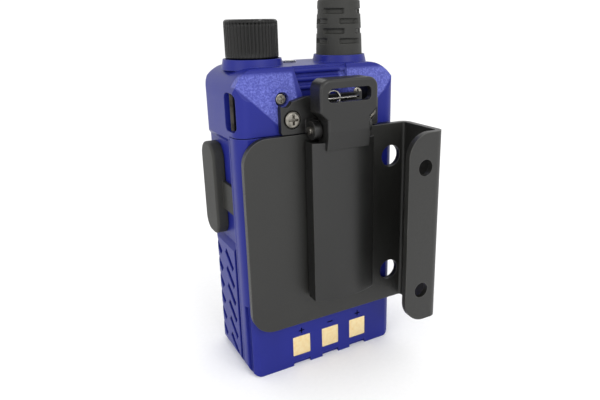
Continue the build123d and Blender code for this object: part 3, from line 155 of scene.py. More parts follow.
class SpringSettings(bpy.types.PropertyGroup):
    """Wire spring of the belt clip."""

    wire: FloatProperty(
        name="Wire", description="Radius of the spring wire",
        default=0.36 * MM, min=0.1 * MM, unit="LENGTH", precision=5)
    coil: FloatProperty(
        name="Coil", description="Radius of the coil around the hinge pin",
        default=2.0 * MM, min=0.5 * MM, unit="LENGTH", precision=5)
    turns: IntProperty(name="Turns", description="Turns around the hinge pin", default=7, min=1)
    loop: FloatProperty(
        name="Loop", description="Radius of the loops seen through the tab's slot",
        default=2.4 * MM, min=0.5 * MM, unit="LENGTH", precision=5)
    loop_turns: IntProperty(
        name="Loop turns", description="Loops seen through the tab's slot", default=3, min=1)
    half_length: FloatProperty(
        name="Half length", description="Half the length of the coil along the pin",
        default=4.2 * MM, min=MM, unit="LENGTH", precision=5)
    offset: FloatProperty(
        name="Loop offset", description="How far the loops stand to the knob side of the pin's middle",
        default=3.0 * MM, min=0.0, unit="LENGTH", precision=5)
    drop: FloatProperty(
        name="Loop drop", description="Middle of the loops below the top of the spring's room",
        default=1.6 * MM, min=0.0, unit="LENGTH", precision=5)
    tail: FloatProperty(
        name="Tail", description="How far the free end reaches past the pin's middle",
        default=6.2 * MM, min=0.0, unit="LENGTH", precision=5)


class MarkSettings(bpy.types.PropertyGroup):
    """Printed and moulded marks."""

    stroke: FloatProperty(
        name="Stroke", description="Stroke width of the key numbers",
        default=0.42 * MM, min=0.1 * MM, unit="LENGTH", precision=5)
    height: FloatProperty(
        name="Height", description="Height of the key numbers",
        default=2.6 * MM, min=0.5 * MM, unit="LENGTH", precision=5)
    thickness: FloatProperty(
        name="Thickness", description="How far a mark stands off its surface",
        default=0.05 * MM, min=0.01 * MM, unit="LENGTH", precision=5)
    display_height: FloatProperty(
        name="Display height", description="Height of the figures on the display",
        default=4.2 * MM, min=0.5 * MM, unit="LENGTH", precision=5)
    display_stroke: FloatProperty(
        name="Display stroke", description="Stroke width of the display's figures",
        default=0.6 * MM, min=0.1 * MM, unit="LENGTH", precision=5)
    display_pitch: FloatProperty(
        name="Display pitch", description="Distance from one figure to the next on the display",
        default=4.3 * MM, min=MM, unit="LENGTH", precision=5)
    display_line: FloatProperty(
        name="Display line", description="Height from one line of figures to the next",
        default=6.2 * MM, min=MM, unit="LENGTH", precision=5)
    contact_width: FloatProperty(
        name="Contact width", description="Width of one charging contact, which its mark is centred over",
        default=6.7 * MM, min=MM, unit="LENGTH", precision=5)
    polarity_arm: FloatProperty(
        name="Polarity arm", description="Half the length of a polarity mark's bar",
        default=1.1 * MM, min=0.2 * MM, unit="LENGTH", precision=5)
    polarity_stroke: FloatProperty(
        name="Polarity stroke", description="Half the width of a polarity mark's bar",
        default=0.22 * MM, min=0.05 * MM, unit="LENGTH", precision=5)
    polarity_rise: FloatProperty(
        name="Polarity rise", description="Height of a polarity mark over the contacts",
        default=2.2 * MM, min=0.0, unit="LENGTH", precision=5)


class StageSettings(bpy.types.PropertyGroup):
    """Floor, lights and camera."""

    floor_half: FloatProperty(
        name="Floor half width", description="Half the width of the floor sheet",
        default=9.0, min=0.5, unit="LENGTH")
    key_power: FloatProperty(
        name="Key power", description="Power of the big soft light over the camera's right",
        default=3.2, min=0.0, unit="POWER")
    side_power: FloatProperty(
        name="Side power", description="Power of the soft light on the knob side",
        default=1.5, min=0.0, unit="POWER")
    low_power: FloatProperty(
        name="Low power", description="Power of the small light that lifts the battery's lower back",
        default=0.8, min=0.0, unit="POWER")
    sky: FloatProperty(
        name="Sky", description="Strength of the even white surroundings", default=1.12, min=0.0)
    place: FloatVectorProperty(
        name="Camera place", description="Camera's place", size=3, subtype="TRANSLATION",
        default=(84.4 * MM, 169.7 * MM, 119.2 * MM))
    turn: FloatProperty(
        name="Turn", description="Camera's turn round the upright axis, from in front of the keypad",
        default=math.radians(150.5), subtype="ANGLE")
    pitch: FloatProperty(
        name="Pitch", description="Camera's angle above the level",
        default=math.radians(17.1), subtype="ANGLE")
    roll: FloatProperty(
        name="Roll", description="Camera's roll about its own line of sight",
        default=math.radians(-0.8), subtype="ANGLE")
    lens: FloatProperty(name="Lens", description="Focal length in millimetres", default=33.1, min=1.0)
    shift: FloatVectorProperty(
        name="Shift", description="Sideways and upward lens shift that frames the radio",
        size=2, default=(-0.05, -0.025))


# =============================================================== node helpers
def linear(hex_colour):
    """sRGB hex such as "#3a40a0" as a linear RGBA colour."""
    channels = [int(hex_colour[i:i + 2], 16) / 255 for i in (1, 3, 5)]
    return tuple(c / 12.92 if c <= 0.04045 else ((c + 0.055) / 1.055) ** 2.4 for c in channels) + (1.0,)


def add(tree, kind, values=(), links=(), **settings):
    """Adds a shader node: settings are its properties, values and links go to its inputs."""
    made = tree.nodes.new(kind)
    for name, value in settings.items():
        setattr(made, name, value)
    for name, value in dict(values).items():
        made.inputs[name].default_value = value
    for name, socket in dict(links).items():
        tree.links.new(socket, made.inputs[name])
    return made


def new_material(name, **values):
    """Material with one Principled shader; values set its constant inputs."""
    material = bpy.data.materials.new(name)
    material.use_nodes = True
    tree = material.node_tree
    tree.nodes.clear()
    shader = add(tree, "ShaderNodeBsdfPrincipled", {k.replace("_", " "): v for k, v in values.items()})
    add(tree, "ShaderNodeOutputMaterial", links={"Surface": shader.outputs["BSDF"]})
    return material, tree, shader


def place_of(tree):
    """Object coordinates: metres in the shared frame."""
    return add(tree, "ShaderNodeTexCoord").outputs["Object"]


def noise(tree, size, detail=2.0, roughness=0.5, stretch=None):
    """Noise whose features are about size metres across, drawn out along an axis by stretch."""
    place = place_of(tree)
    if stretch is not None:
        place = add(tree, "ShaderNodeMapping", {"Scale": stretch}, {"Vector": place}).outputs["Vector"]
    made = add(tree, "ShaderNodeTexNoise", {"Scale": 1 / size, "Detail": detail, "Roughness": roughness},
               {"Vector": place})
    return made.outputs["Fac"]


def remap(tree, value, low, high, to_low, to_high):
    """value from low..high to to_low..to_high, held inside those ends."""
    return add(tree, "ShaderNodeMapRange",
               {"From Min": low, "From Max": high, "To Min": to_low, "To Max": to_high},
               {"Value": value}).outputs["Result"]


def maths(tree, operation, a, b):
    """a operation b, where either may be a socket or a number."""
    made = add(tree, "ShaderNodeMath", operation=operation)
    for index, value in enumerate((a, b)):
        if isinstance(value, (int, float)):
            made.inputs[index].default_value = value
        else:
            tree.links.new(value, made.inputs[index])
    return made.outputs["Value"]


def blend_colours(tree, factor, a, b):
    """Colour from a to b by factor; a and b are colours or sockets."""
    made = add(tree, "ShaderNodeMix", data_type="RGBA")
    tree.links.new(factor, made.inputs["Factor"])
    for name, value in (("A", a), ("B", b)):
        socket = next(i for i in made.inputs if i.name == name and i.type == "RGBA")
        if isinstance(value, tuple):
            socket.default_value = value
        else:
            tree.links.new(value, socket)
    return next(o for o in made.outputs if o.type == "RGBA")


def rounded_normal(tree, radius):
    """Normal that looks as if every edge were rounded to radius."""
    return add(tree, "ShaderNodeBevel", {"Radius": radius}, samples=4).outputs["Normal"]


def edge_mask(tree, radius):
    """1 on sharp edges and 0 on flats: where the rounded normal leaves the true one."""
    dot = add(tree, "ShaderNodeVectorMath", operation="DOT_PRODUCT")
    tree.links.new(rounded_normal(tree, radius), dot.inputs[0])
    tree.links.new(add(tree, "ShaderNodeNewGeometry").outputs["Normal"], dot.inputs[1])
    return remap(tree, dot.outputs["Value"], 0.99, 0.80, 0.0, 1.0)


def bumped(tree, height, depth, normal, strength=1.0):
    """Normal with a bump of depth metres over it."""
    return add(tree, "ShaderNodeBump", {"Strength": strength, "Distance": depth},
               {"Height": height, "Normal": normal}).outputs["Normal"]


def finish_surface(name, colour, edge_highlight, grain, grain_depth, roughness, spread, edge_highlight_weight=0.5, tone=0.10, **extra):
    """Solid-coloured surface with a grain pressed or sprayed into it.

    colour is the flat's; the second colour is a paler one painted on the sharp edges as a painted highlight,
    with the weight after spread setting how much; roughness drifts by spread with the grain and with greasy
    patches; tone is how far the colour drifts over those patches."""
    sizes = bpy.context.scene.radio_finish
    material, tree, shader = new_material(name, **extra)
    patches = noise(tree, sizes.patch)
    pressed = noise(tree, grain, detail=3.0, roughness=0.6)
    # Painted highlight: the share of each sharp edge, varied by the patches, that gets the paler edge colour.
    edge_highlight_mask = maths(tree, "MULTIPLY", edge_mask(tree, sizes.soft_edge),
                   remap(tree, patches, 0.35, 0.65, 0.3, 1.0))
    edge_highlight_mask = maths(tree, "MULTIPLY", edge_highlight_mask, edge_highlight_weight)
    darker = tuple(c * (1 - tone) for c in linear(colour)[:3]) + (1.0,)
    lighter = tuple(min(1.0, c * (1 + tone)) for c in linear(colour)[:3]) + (1.0,)
    base = blend_colours(tree, remap(tree, patches, 0.3, 0.7, 0.0, 1.0), darker, lighter)
    # Painted highlight: the paler edge colour laid over the base colour on the sharp edges.
    base = blend_colours(tree, edge_highlight_mask, base, linear(edge_highlight))
    gloss = maths(tree, "ADD", remap(tree, pressed, 0.3, 0.7, roughness - spread, roughness + spread),
                  remap(tree, patches, 0.3, 0.7, -spread / 2, spread / 2))
    normal = bumped(tree, pressed, grain_depth, rounded_normal(tree, sizes.soft_edge))
    tree.links.new(base, shader.inputs["Base Color"])
    tree.links.new(gloss, shader.inputs["Roughness"])
    tree.links.new(normal, shader.inputs["Normal"])
    return material


# =============================================================== materials
def moulded_abs_blue():
    """Self-coloured ABS. The mould is spark-eroded coarsely on the two shoulder facets and finely elsewhere,
    which gives a soft satin sheen.
    On the facets' coarse grain a paler colour is painted as painted glints, and as painted light where the
    facets tilt up."""
    sizes = bpy.context.scene.radio_finish
    # The second colour is the painted highlight on the sharp edges.
    material = finish_surface("moulded_abs_blue", "#181f74", "#5b63ba", grain=sizes.fine_grain,
                              grain_depth=0.012 * MM, roughness=0.40, spread=0.05, edge_highlight_weight=0.45, tone=0.06,
                              Specular_IOR_Level=0.22)
    tree = material.node_tree
    shader = tree.nodes["Principled BSDF"]
    mask = facet_mask(tree)
    spark = noise(tree, sizes.spark_grain, detail=2.0, roughness=0.7)
    fine_normal = shader.inputs["Normal"].links[0].from_socket
    height = maths(tree, "MULTIPLY", spark, mask)
    normal = bumped(tree, height, 0.30 * MM, fine_normal)
    tree.links.new(normal, shader.inputs["Normal"])
    fine_colour = shader.inputs["Base Color"].links[0].from_socket
    # Painted highlight: a paler glint colour on the coarse facet grain, where the facets catch the light.
    painted_glint = maths(tree, "MULTIPLY", remap(tree, spark, 0.42, 0.7, 0.25, 0.75), mask)
    tree.links.new(blend_colours(tree, painted_glint, fine_colour, linear("#757cd0")), shader.inputs["Base Color"])
    return material


def facet_mask(tree):
    """1 on the shoulder facets: high on the back, inside a line that falls towards the middle."""
    split = add(tree, "ShaderNodeSeparateXYZ", links={"Vector": place_of(tree)})
    sizes = bpy.context.scene.radio_finish
    blur = sizes.facet_blur
    case_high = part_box("front_case")[1]
    across = maths(tree, "ABSOLUTE", split.outputs["X"], 0.0)
    line = maths(tree, "ADD", maths(tree, "MULTIPLY", across, sizes.facet_slope),
                 case_high.z - sizes.facet_drop)
    above = maths(tree, "SUBTRACT", split.outputs["Z"], line)
    above = remap(tree, above, -blur, blur, 0.0, 1.0)
    top = case_high.z - sizes.facet_top
    under_collar = remap(tree, split.outputs["Z"], top, top - 2.5 * blur, 0.0, 1.0)
    back = case_high.y - sizes.facet_depth
    behind = remap(tree, split.outputs["Y"], back - 1.5 * blur, back, 0.0, 1.0)
    inside = remap(tree, across, sizes.facet_inner - 2 * blur, sizes.facet_inner, 0.0, 1.0)
    mask = maths(tree, "MULTIPLY", above, behind)
    mask = maths(tree, "MULTIPLY", mask, inside)
    return maths(tree, "MULTIPLY", mask, under_collar)


def moulded_nylon_black():
    """Glass-filled nylon of the belt clip: near-black satin with a faint flow grain."""
    # The second colour is the painted highlight on the sharp edges.
    return finish_surface("moulded_nylon_black", "#10100f", "#4a4a47", grain=0.45 * MM, grain_depth=0.02 * MM,
                          roughness=0.40, spread=0.06, edge_highlight_weight=0.5)


def moulded_abs_black():
    """Black ABS of the knob: a little glossier than the clip, with a paler colour painted on its edges and
    ribs as a painted highlight.
    """
    # The second colour is the painted highlight on the sharp edges.
    return finish_surface("moulded_abs_black", "#070706", "#2e2e2c", grain=0.3 * MM, grain_depth=0.008 * MM,
                          roughness=0.34, spread=0.05, edge_highlight_weight=0.35, Specular_IOR_Level=0.3)


def moulded_rubber():
    """Thermoplastic rubber: dull, dusty dark grey with no sharp highlight."""
    # The second colour is the painted highlight on the sharp edges.
    return finish_surface("moulded_rubber", "#262623", "#4b4b46", grain=0.28 * MM, grain_depth=0.02 * MM,
                          roughness=0.62, spread=0.06, edge_highlight_weight=0.35, Specular_IOR_Level=0.4)


def powder_coat_black():
    """Baked powder coat on sheet steel: fine orange peel; the edges catch light, painted as a paler edge
    colour.
    """
    # The second colour is the painted highlight on the sharp edges.
    return finish_surface("powder_coat_black", "#1a1a18", "#686864", grain=0.62 * MM, grain_depth=0.035 * MM,
                          roughness=0.44, spread=0.07, edge_highlight_weight=0.6)


def plated(name, colour, tarnish, size, stretch, roughness, spread):
    """Plated metal: brushing drawn along one axis, and a tarnish that dulls it in patches."""
    material, tree, shader = new_material(name, Metallic=1.0)
    lines = noise(tree, size, detail=3.0, stretch=stretch)
    patches = noise(tree, 1.6 * MM)
    dulled = remap(tree, patches, 0.4, 0.75, 0.0, 1.0)
    base = blend_colours(tree, dulled, linear(colour), linear(tarnish))
    gloss = maths(tree, "ADD", remap(tree, lines, 0.3, 0.7, roughness - spread, roughness + spread),
                  remap(tree, patches, 0.4, 0.8, 0.0, 0.12))
    tree.links.new(base, shader.inputs["Base Color"])
    tree.links.new(gloss, shader.inputs["Roughness"])
    tree.links.new(bumped(tree, lines, 0.006 * MM, rounded_normal(tree, 0.12 * MM)), shader.inputs["Normal"])
    return material


def zinc_plated_steel():
    """Bright zinc on the screws: cold grey, slightly cloudy."""
    return plated("zinc_plated_steel", "#96928a", "#5d5a53", size=0.18 * MM, stretch=(1, 1, 1),
                  roughness=0.28, spread=0.06)


def blackened_steel():
    """Oiled black oxide on the strap bar: dark, with a dull metal sheen along its length."""
    return plated("blackened_steel", "#44413d", "#2b2926", size=0.2 * MM, stretch=(1, 1, 0.2),
                  roughness=0.42, spread=0.06)


def spring_steel():
    """Drawn spring wire: bright along its length."""
    return plated("spring_steel", "#d2d0cb", "#8d8a84", size=0.1 * MM, stretch=(1, 1, 1),
                  roughness=0.22, spread=0.05)


def gold_plate():
    """Flash gold on the charging contacts: pale, rubbed along Z by the cradle's springs."""
    return plated("gold_plate", "#ffeab8", "#f8dc9e", size=0.16 * MM, stretch=(1, 1, 0.08),
                  roughness=0.34, spread=0.08)


def diecast_zinc():
    """Chassis casting: dull grey with a cast skin."""
    # The second colour is the painted highlight on the sharp edges.
    return finish_surface("diecast_zinc", "#8e8f90", "#b5b6b8", grain=0.8 * MM, grain_depth=0.03 * MM,
                          roughness=0.45, spread=0.08, Metallic=1.0)


def board_laminate():
    """Circuit board: green solder resist over a woven laminate."""
    material, tree, shader = new_material("board_laminate", Roughness=0.35)
    weave = noise(tree, 0.5 * MM, detail=1.0)
    resist = {"Color1": linear("#0f4a2a"), "Color2": linear("#135a33"), "Mortar": linear("#1f7a48")}
    tracks = add(tree, "ShaderNodeTexBrick", {"Scale": 180.0, "Mortar Size": 0.03, **resist},
                 {"Vector": place_of(tree)})
    tree.links.new(tracks.outputs["Color"], shader.inputs["Base Color"])
    tree.links.new(bumped(tree, weave, 0.01 * MM, rounded_normal(tree, 0.1 * MM)), shader.inputs["Normal"])
    return material


def silicone_dark():
    """Silicone keys: dull dark grey with a silky touch coat."""
    # The second colour is the painted highlight on the sharp edges.
    return finish_surface("silicone_dark", "#26262a", "#3f3f44", grain=0.2 * MM, grain_depth=0.008 * MM,
                          roughness=0.5, spread=0.05, edge_highlight_weight=0.3)


def silicone_orange():
    """Orange push-to-talk silicone, matt and slightly mottled."""
    # The second colour is the painted highlight on the sharp edges.
    return finish_surface("silicone_orange", "#c8561a", "#e08a52", grain=0.25 * MM, grain_depth=0.01 * MM,
                          roughness=0.48, spread=0.06, edge_highlight_weight=0.3)


def cell_wrap():
    """Printed shrink sleeve round the cells: blue-grey, crinkled."""
    # The second colour is the painted highlight on the sharp edges.
    return finish_surface("cell_wrap", "#3b6a92", "#7fa3c0", grain=2.2 * MM, grain_depth=0.08 * MM,
                          roughness=0.3, spread=0.08, edge_highlight_weight=0.4)


def clear_plastic(name, tint, roughness):
    """Clear moulding that light goes through, with a faint haze of handling marks."""
    material, tree, shader = new_material(name, Base_Color=linear(tint), Transmission_Weight=0.95, IOR=1.49)
    haze = noise(tree, 5 * MM, detail=4.0)
    tree.links.new(remap(tree, haze, 0.4, 0.7, roughness, roughness + 0.08), shader.inputs["Roughness"])
    tree.links.new(rounded_normal(tree, 0.2 * MM), shader.inputs["Normal"])
    return material


def display_panel():
    """Liquid crystal panel: grey-green, with the fine lattice of its segments' leads."""
    material, tree, shader = new_material("display_panel", Roughness=0.3)
    lattice = add(tree, "ShaderNodeTexChecker", {"Scale": 2200.0, "Color1": linear("#8fa39a"),
                  "Color2": linear("#889c93")}, {"Vector": place_of(tree)})
    cloud = noise(tree, 12 * MM)
    tree.links.new(blend_colours(tree, remap(tree, cloud, 0.3, 0.7, 0.0, 0.5), lattice.outputs["Color"],
                                 linear("#9db0a6")), shader.inputs["Base Color"])
    return material


def print_ink(name, colour):
    """Pad-printed ink: even, slightly broken by the grain under it."""
    return finish_surface(name, colour, colour, grain=0.15 * MM, grain_depth=0.004 * MM,
                          roughness=0.45, spread=0.06, edge_highlight_weight=0.0, tone=0.05)


def seamless_paper():
    """White paper sweep: matt, with a barely seen fibre."""
    material, tree, shader = new_material("seamless_paper", Roughness=0.85)
    fibre = noise(tree, 1.5 * MM, detail=3.0)
    base = blend_colours(tree, fibre, linear("#f4f4f4"), linear("#fafafa"))
    tree.links.new(base, shader.inputs["Base Color"])
    tree.links.new(bumped(tree, fibre, 0.02 * MM, add(tree, "ShaderNodeNewGeometry").outputs["Normal"]),
                   shader.inputs["Normal"])
    return material


def paint(material, *names):
    """Gives CAD nodes this material."""
    for name in names:
        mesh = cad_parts[name].data
        mesh.materials.clear()
        mesh.materials.append(material)


# =============================================================== surfaces
def link_mesh(name, points, faces, material, smooth=True):
    """Object from vertices and faces, all closed and facing outwards."""
    mesh = bpy.data.meshes.new(name)
    mesh.from_pydata(points.tolist(), [], faces)
    mesh.validate()
    mesh.update()
    mesh.polygons.foreach_set("use_smooth", np.full(len(mesh.polygons), smooth))
    mesh.materials.append(material)
    made = bpy.data.objects.new(name, mesh)
    bpy.context.scene.collection.objects.link(made)
    return made


def swept(name, rings, material):
    """Closed surface through rings, an array (ring, place round it, xyz), with a pole at each end.
    Each ring is joined to the next by quads and the first and last are closed by fans."""
    count, around = rings.shape[:2]
    poles = np.array([rings[0].mean(0), rings[-1].mean(0)])
    points = np.concatenate([rings.reshape(-1, 3), poles])
    here = np.arange(count * around).reshape(count, around)
    beside = np.roll(here, -1, axis=1)
    quads = np.stack([here[:-1], beside[:-1], beside[1:], here[1:]], axis=-1).reshape(-1, 4).tolist()
    first, last = count * around, count * around + 1
    quads += [(first, b, a) for a, b in zip(here[0].tolist(), beside[0].tolist())]
    quads += [(last, a, b) for a, b in zip(here[-1].tolist(), beside[-1].tolist())]
    return link_mesh(name, points, quads, material)


def turned(name, centre, radius, height, columns, material):
    """Turned form: radius and height are arrays (row, column), rows up the profile and columns
    round the axis; a point is centre plus radius along its angle plus height."""
    angle = np.linspace(0, 2 * math.pi, columns, endpoint=False)
    x = centre[0] + radius * np.cos(angle)
    y = centre[1] + radius * np.sin(angle)
    return swept(name, np.stack([x, y, height + 0 * x], axis=-1), material)


def tube(name, path, radius, material, around=12):
    """Round wire along path, an array (point, xyz): each ring stands square to the path, turned
    as little as possible from the ring before it."""
    along = np.gradient(path, axis=0)
    along /= np.linalg.norm(along, axis=1)[:, None]
    side = np.cross(along[0], (0.3, 0.5, 0.8))
    angle = np.linspace(0, 2 * math.pi, around, endpoint=False)[:, None]
    rings = []
    for point, tangent in zip(path, along):
        side = side - tangent * (side @ tangent)
        side /= np.linalg.norm(side)
        other = np.cross(tangent, side)
        rings.append(point + radius * (np.cos(angle) * side + np.sin(angle) * other))
    return swept(name, np.array(rings), material)


def bars(name, boxes, material):
    """Closed flat bars from an array (bar, 6) of x0, x1, y0, y1, z0, z1."""
    boxes = np.asarray(boxes, float)
    corner = np.array([[0, 2, 4], [1, 2, 4], [1, 3, 4], [0, 3, 4],
                       [0, 2, 5], [1, 2, 5], [1, 3, 5], [0, 3, 5]])
    points = boxes[:, corner].reshape(-1, 3)
    sides = ((0, 3, 2, 1), (4, 5, 6, 7), (0, 1, 5, 4), (1, 2, 6, 5), (2, 3, 7, 6), (3, 0, 4, 7))
    faces = [tuple(8 * bar + v for v in side) for bar in range(len(boxes)) for side in sides]
    return link_mesh(name, points, faces, material, smooth=False)


def step(value, low, high):
    """0 below low, 1 above high, and a smooth rise between."""
    t = np.clip((value - low) / (high - low), 0, 1)
    return t * t * (3 - 2 * t)


# Segments of a figure: a top, b upper right, c lower right, d bottom, e lower left, f upper left, g middle.
FIGURES = {"0": "abcdef", "1": "bc", "2": "abged", "3": "abgcd", "4": "fgbc", "5": "afgcd", "6": "afgedc",
           "7": "abc", "8": "abcdefg", "9": "abcdfg", "A": "abcefg", "b": "cdefg", "C": "adef", "d": "bcdeg",
           "-": "g", "P": "abefg", "F": "aefg", "H": "bcefg"}


def figure_bars(figure, x, z, y0, y1, height, stroke):
    """Bars of one segmented figure centred on x, z, read from the front, where +X is to the right."""
    half = height / 2
    wide = height * 0.28
    s = stroke / 2
    rows = {
        "a": (x - wide, x + wide, z + half - s, z + half + s),
        "g": (x - wide, x + wide, z - s, z + s),
        "d": (x - wide, x + wide, z - half - s, z - half + s),
        "b": (x + wide - s, x + wide + s, z, z + half),
        "c": (x + wide - s, x + wide + s, z - half, z),
        "f": (x - wide - s, x - wide + s, z, z + half),
        "e": (x - wide - s, x - wide + s, z - half, z),
    }
    return [(x0, x1, y0, y1, z0, z1) for x0, x1, z0, z1 in (rows[name] for name in FIGURES[figure])]


# =============================================================== operators
class RADIO_OT_case(bpy.types.Operator):
    """Blue case, battery half, strap bar and sunk screws"""

    bl_idname = "radio.case"
    bl_label = "Case and battery"

    def execute(self, context):
        paint(moulded_abs_blue(), "front_case", "battery_case")
        paint(moulded_nylon_black(), "battery_inner_shell", "battery_latch")
        paint(blackened_steel(), "strap_bar")
        paint(zinc_plated_steel(), "case_screws")
        paint(gold_plate(), "charge_contacts", "battery_terminals", "battery_springs")
        paint(cell_wrap(), "battery_cells")
        paint(spring_steel(), "latch_spring")
        return {"FINISHED"}


class RADIO_OT_contact_marks(bpy.types.Operator):
    """Small moulded polarity marks above the charging contacts"""

    bl_idname = "radio.contact_marks"
    bl_label = "Contact marks"

    def execute(self, context):
        size = context.scene.radio_marks
        low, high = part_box("charge_contacts")
        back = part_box("battery_case")[1].y
        front = back - 6 * size.thickness
        pitch = (high.x - low.x - size.contact_width) / 2
        arm, stroke = size.polarity_arm, size.polarity_stroke
        z = high.z + size.polarity_rise
        rows = []
        for place in (-1, 0, 1):
            x = (high.x + low.x) / 2 + place * pitch
            rows.append((x - arm, x + arm, front, back, z - stroke, z + stroke))
            if place != 0:
                rows.append((x - stroke, x + stroke, front, back, z - arm, z + arm))
        made = bars("contact_marks", rows, print_ink("moulded_mark", "#171c5c"))
        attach(made, "battery")
        return {"FINISHED"}


class RADIO_OT_bracket(bpy.types.Operator):
    """Folded sheet bracket that the clip holds"""

    bl_idname = "radio.bracket"
    bl_label = "Bracket"

    def execute(self, context):
        paint(powder_coat_black(), "mount_bracket")
        return {"FINISHED"}


class RADIO_OT_clip(bpy.types.Operator):
    """Belt clip: base, lever, hinge pin and screws"""

    bl_idname = "radio.clip"
    bl_label = "Belt clip"

    def execute(self, context):
        paint(moulded_nylon_black(), "clip_base", "clip_lever")
        paint(zinc_plated_steel(), "clip_screws", "clip_pin")
        return {"FINISHED"}


class RADIO_OT_spring(bpy.types.Operator):
    """Wire spring: a coil on the hinge pin, a leg up the tab and loops behind its slot"""

    bl_idname = "radio.spring"
    bl_label = "Clip spring"

    def execute(self, context):
        size = context.scene.radio_spring
        pin_low, pin_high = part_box("clip_pin")
        pin = (pin_low + pin_high) / 2
        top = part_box("clip_spring")[1].z
        turn = np.linspace(0, size.turns * 2 * math.pi, size.turns * POINTS_PER_TURN)
        along = pin.x + size.half_length * (2 * turn / turn[-1] - 1)
        coil = np.stack([along, pin.y + size.coil * np.cos(turn), pin.z + size.coil * np.sin(turn)], axis=-1)
        loop_x, loop_z = pin.x + size.offset, top - size.drop
        swing = np.linspace(0, size.loop_turns * 2 * math.pi, size.loop_turns * POINTS_PER_TURN)
        loop_y = pin.y + np.linspace(0.2 * MM, 1.3 * MM, len(swing))
        across, up = size.loop * np.cos(swing), size.loop * np.sin(swing)
        loops = np.stack([loop_x + across, loop_y, loop_z + up], axis=-1)
        tail = np.array([[pin.x - size.tail, pin.y + 1.4 * MM, loop_z]])
        leg = np.array([[loops[0][0], pin.y + 1.2 * MM, pin.z + size.coil + 1.0 * MM]])
        rise = np.concatenate([coil[-1:], leg, loops[:1]])
        end = np.concatenate([loops[-1:], tail])
        path = np.concatenate([coil, fill(rise, RUN_POINTS)[1:-1], loops, fill(end, RUN_POINTS)[1:]])
        made = tube("clip_spring_wire", path, size.wire, spring_steel())
        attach(made, "radio")
        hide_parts("clip_spring")
        return {"FINISHED"}


def fill(corners, count):
    """Straight runs between corners, count points to a run."""
    share = np.linspace(0, 1, count, endpoint=False)[:, None]
    runs = [a + (b - a) * share for a, b in zip(corners, corners[1:])]
    return np.concatenate(runs + [corners[-1:]])


class RADIO_OT_knob(bpy.types.Operator):
    """Ribbed volume knob with a pointer groove"""

    bl_idname = "radio.knob"
    bl_label = "Volume knob"

    def execute(self, context):
        size = context.scene.radio_knob
        low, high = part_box("volume_knob")
        middle = (low + high) / 2
        outer = (high.x - low.x) / 2
        columns = size.ribs * POINTS_PER_RIB
        angle = np.linspace(0, 2 * math.pi, columns, endpoint=False)
        bend = np.linspace(0, math.pi / 2, ARC_ROWS)
        dish_radius = outer * np.array([0.80, 0.72, 0.5, 0.2])
        dish_depth = size.dish * np.array([0.0, 0.9, 1.0, 1.0])
        # Profile from the foot up: sloped foot, ribbed wall, rounded rim, shallow dish in the top.
        radius = np.concatenate([[0.86 * outer, outer - size.edge, outer], np.full(WALL_ROWS, outer),
                                 outer - size.edge + size.edge * np.cos(bend), dish_radius])
        height = np.concatenate([[low.z, low.z, low.z + size.edge],
                                 np.linspace(low.z + size.edge * 1.3, high.z - size.edge, WALL_ROWS),
                                 high.z - size.edge + size.edge * np.sin(bend), high.z - dish_depth])
        wall = step(height, low.z + size.edge, low.z + 1.8 * size.edge)
        wall = wall * (1 - step(height, high.z - size.edge, high.z - 0.5 * size.edge))
        groove = np.clip(0.5 - 0.5 * np.cos(size.ribs * angle), 0, 1) ** 2
        radii = radius[:, None] - size.rib_depth * wall[:, None] * groove
        pointer = np.exp(-((radii * np.cos(angle)) / size.mark_width) ** 2 * 4) * (np.sin(angle) > 0.3)
        pointer = pointer * step(radii, 0.35 * outer, 0.5 * outer)
        pointer = pointer * step(height, high.z - 0.4 * size.edge, high.z)[:, None]
        heights = height[:, None] - size.mark_depth * pointer
        made = turned("volume_knob_shell", middle, radii, heights, columns, moulded_abs_black())
        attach(made, "knob")
        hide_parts("volume_knob")
        paint(zinc_plated_steel(), "volume_shaft", "volume_control")
        return {"FINISHED"}


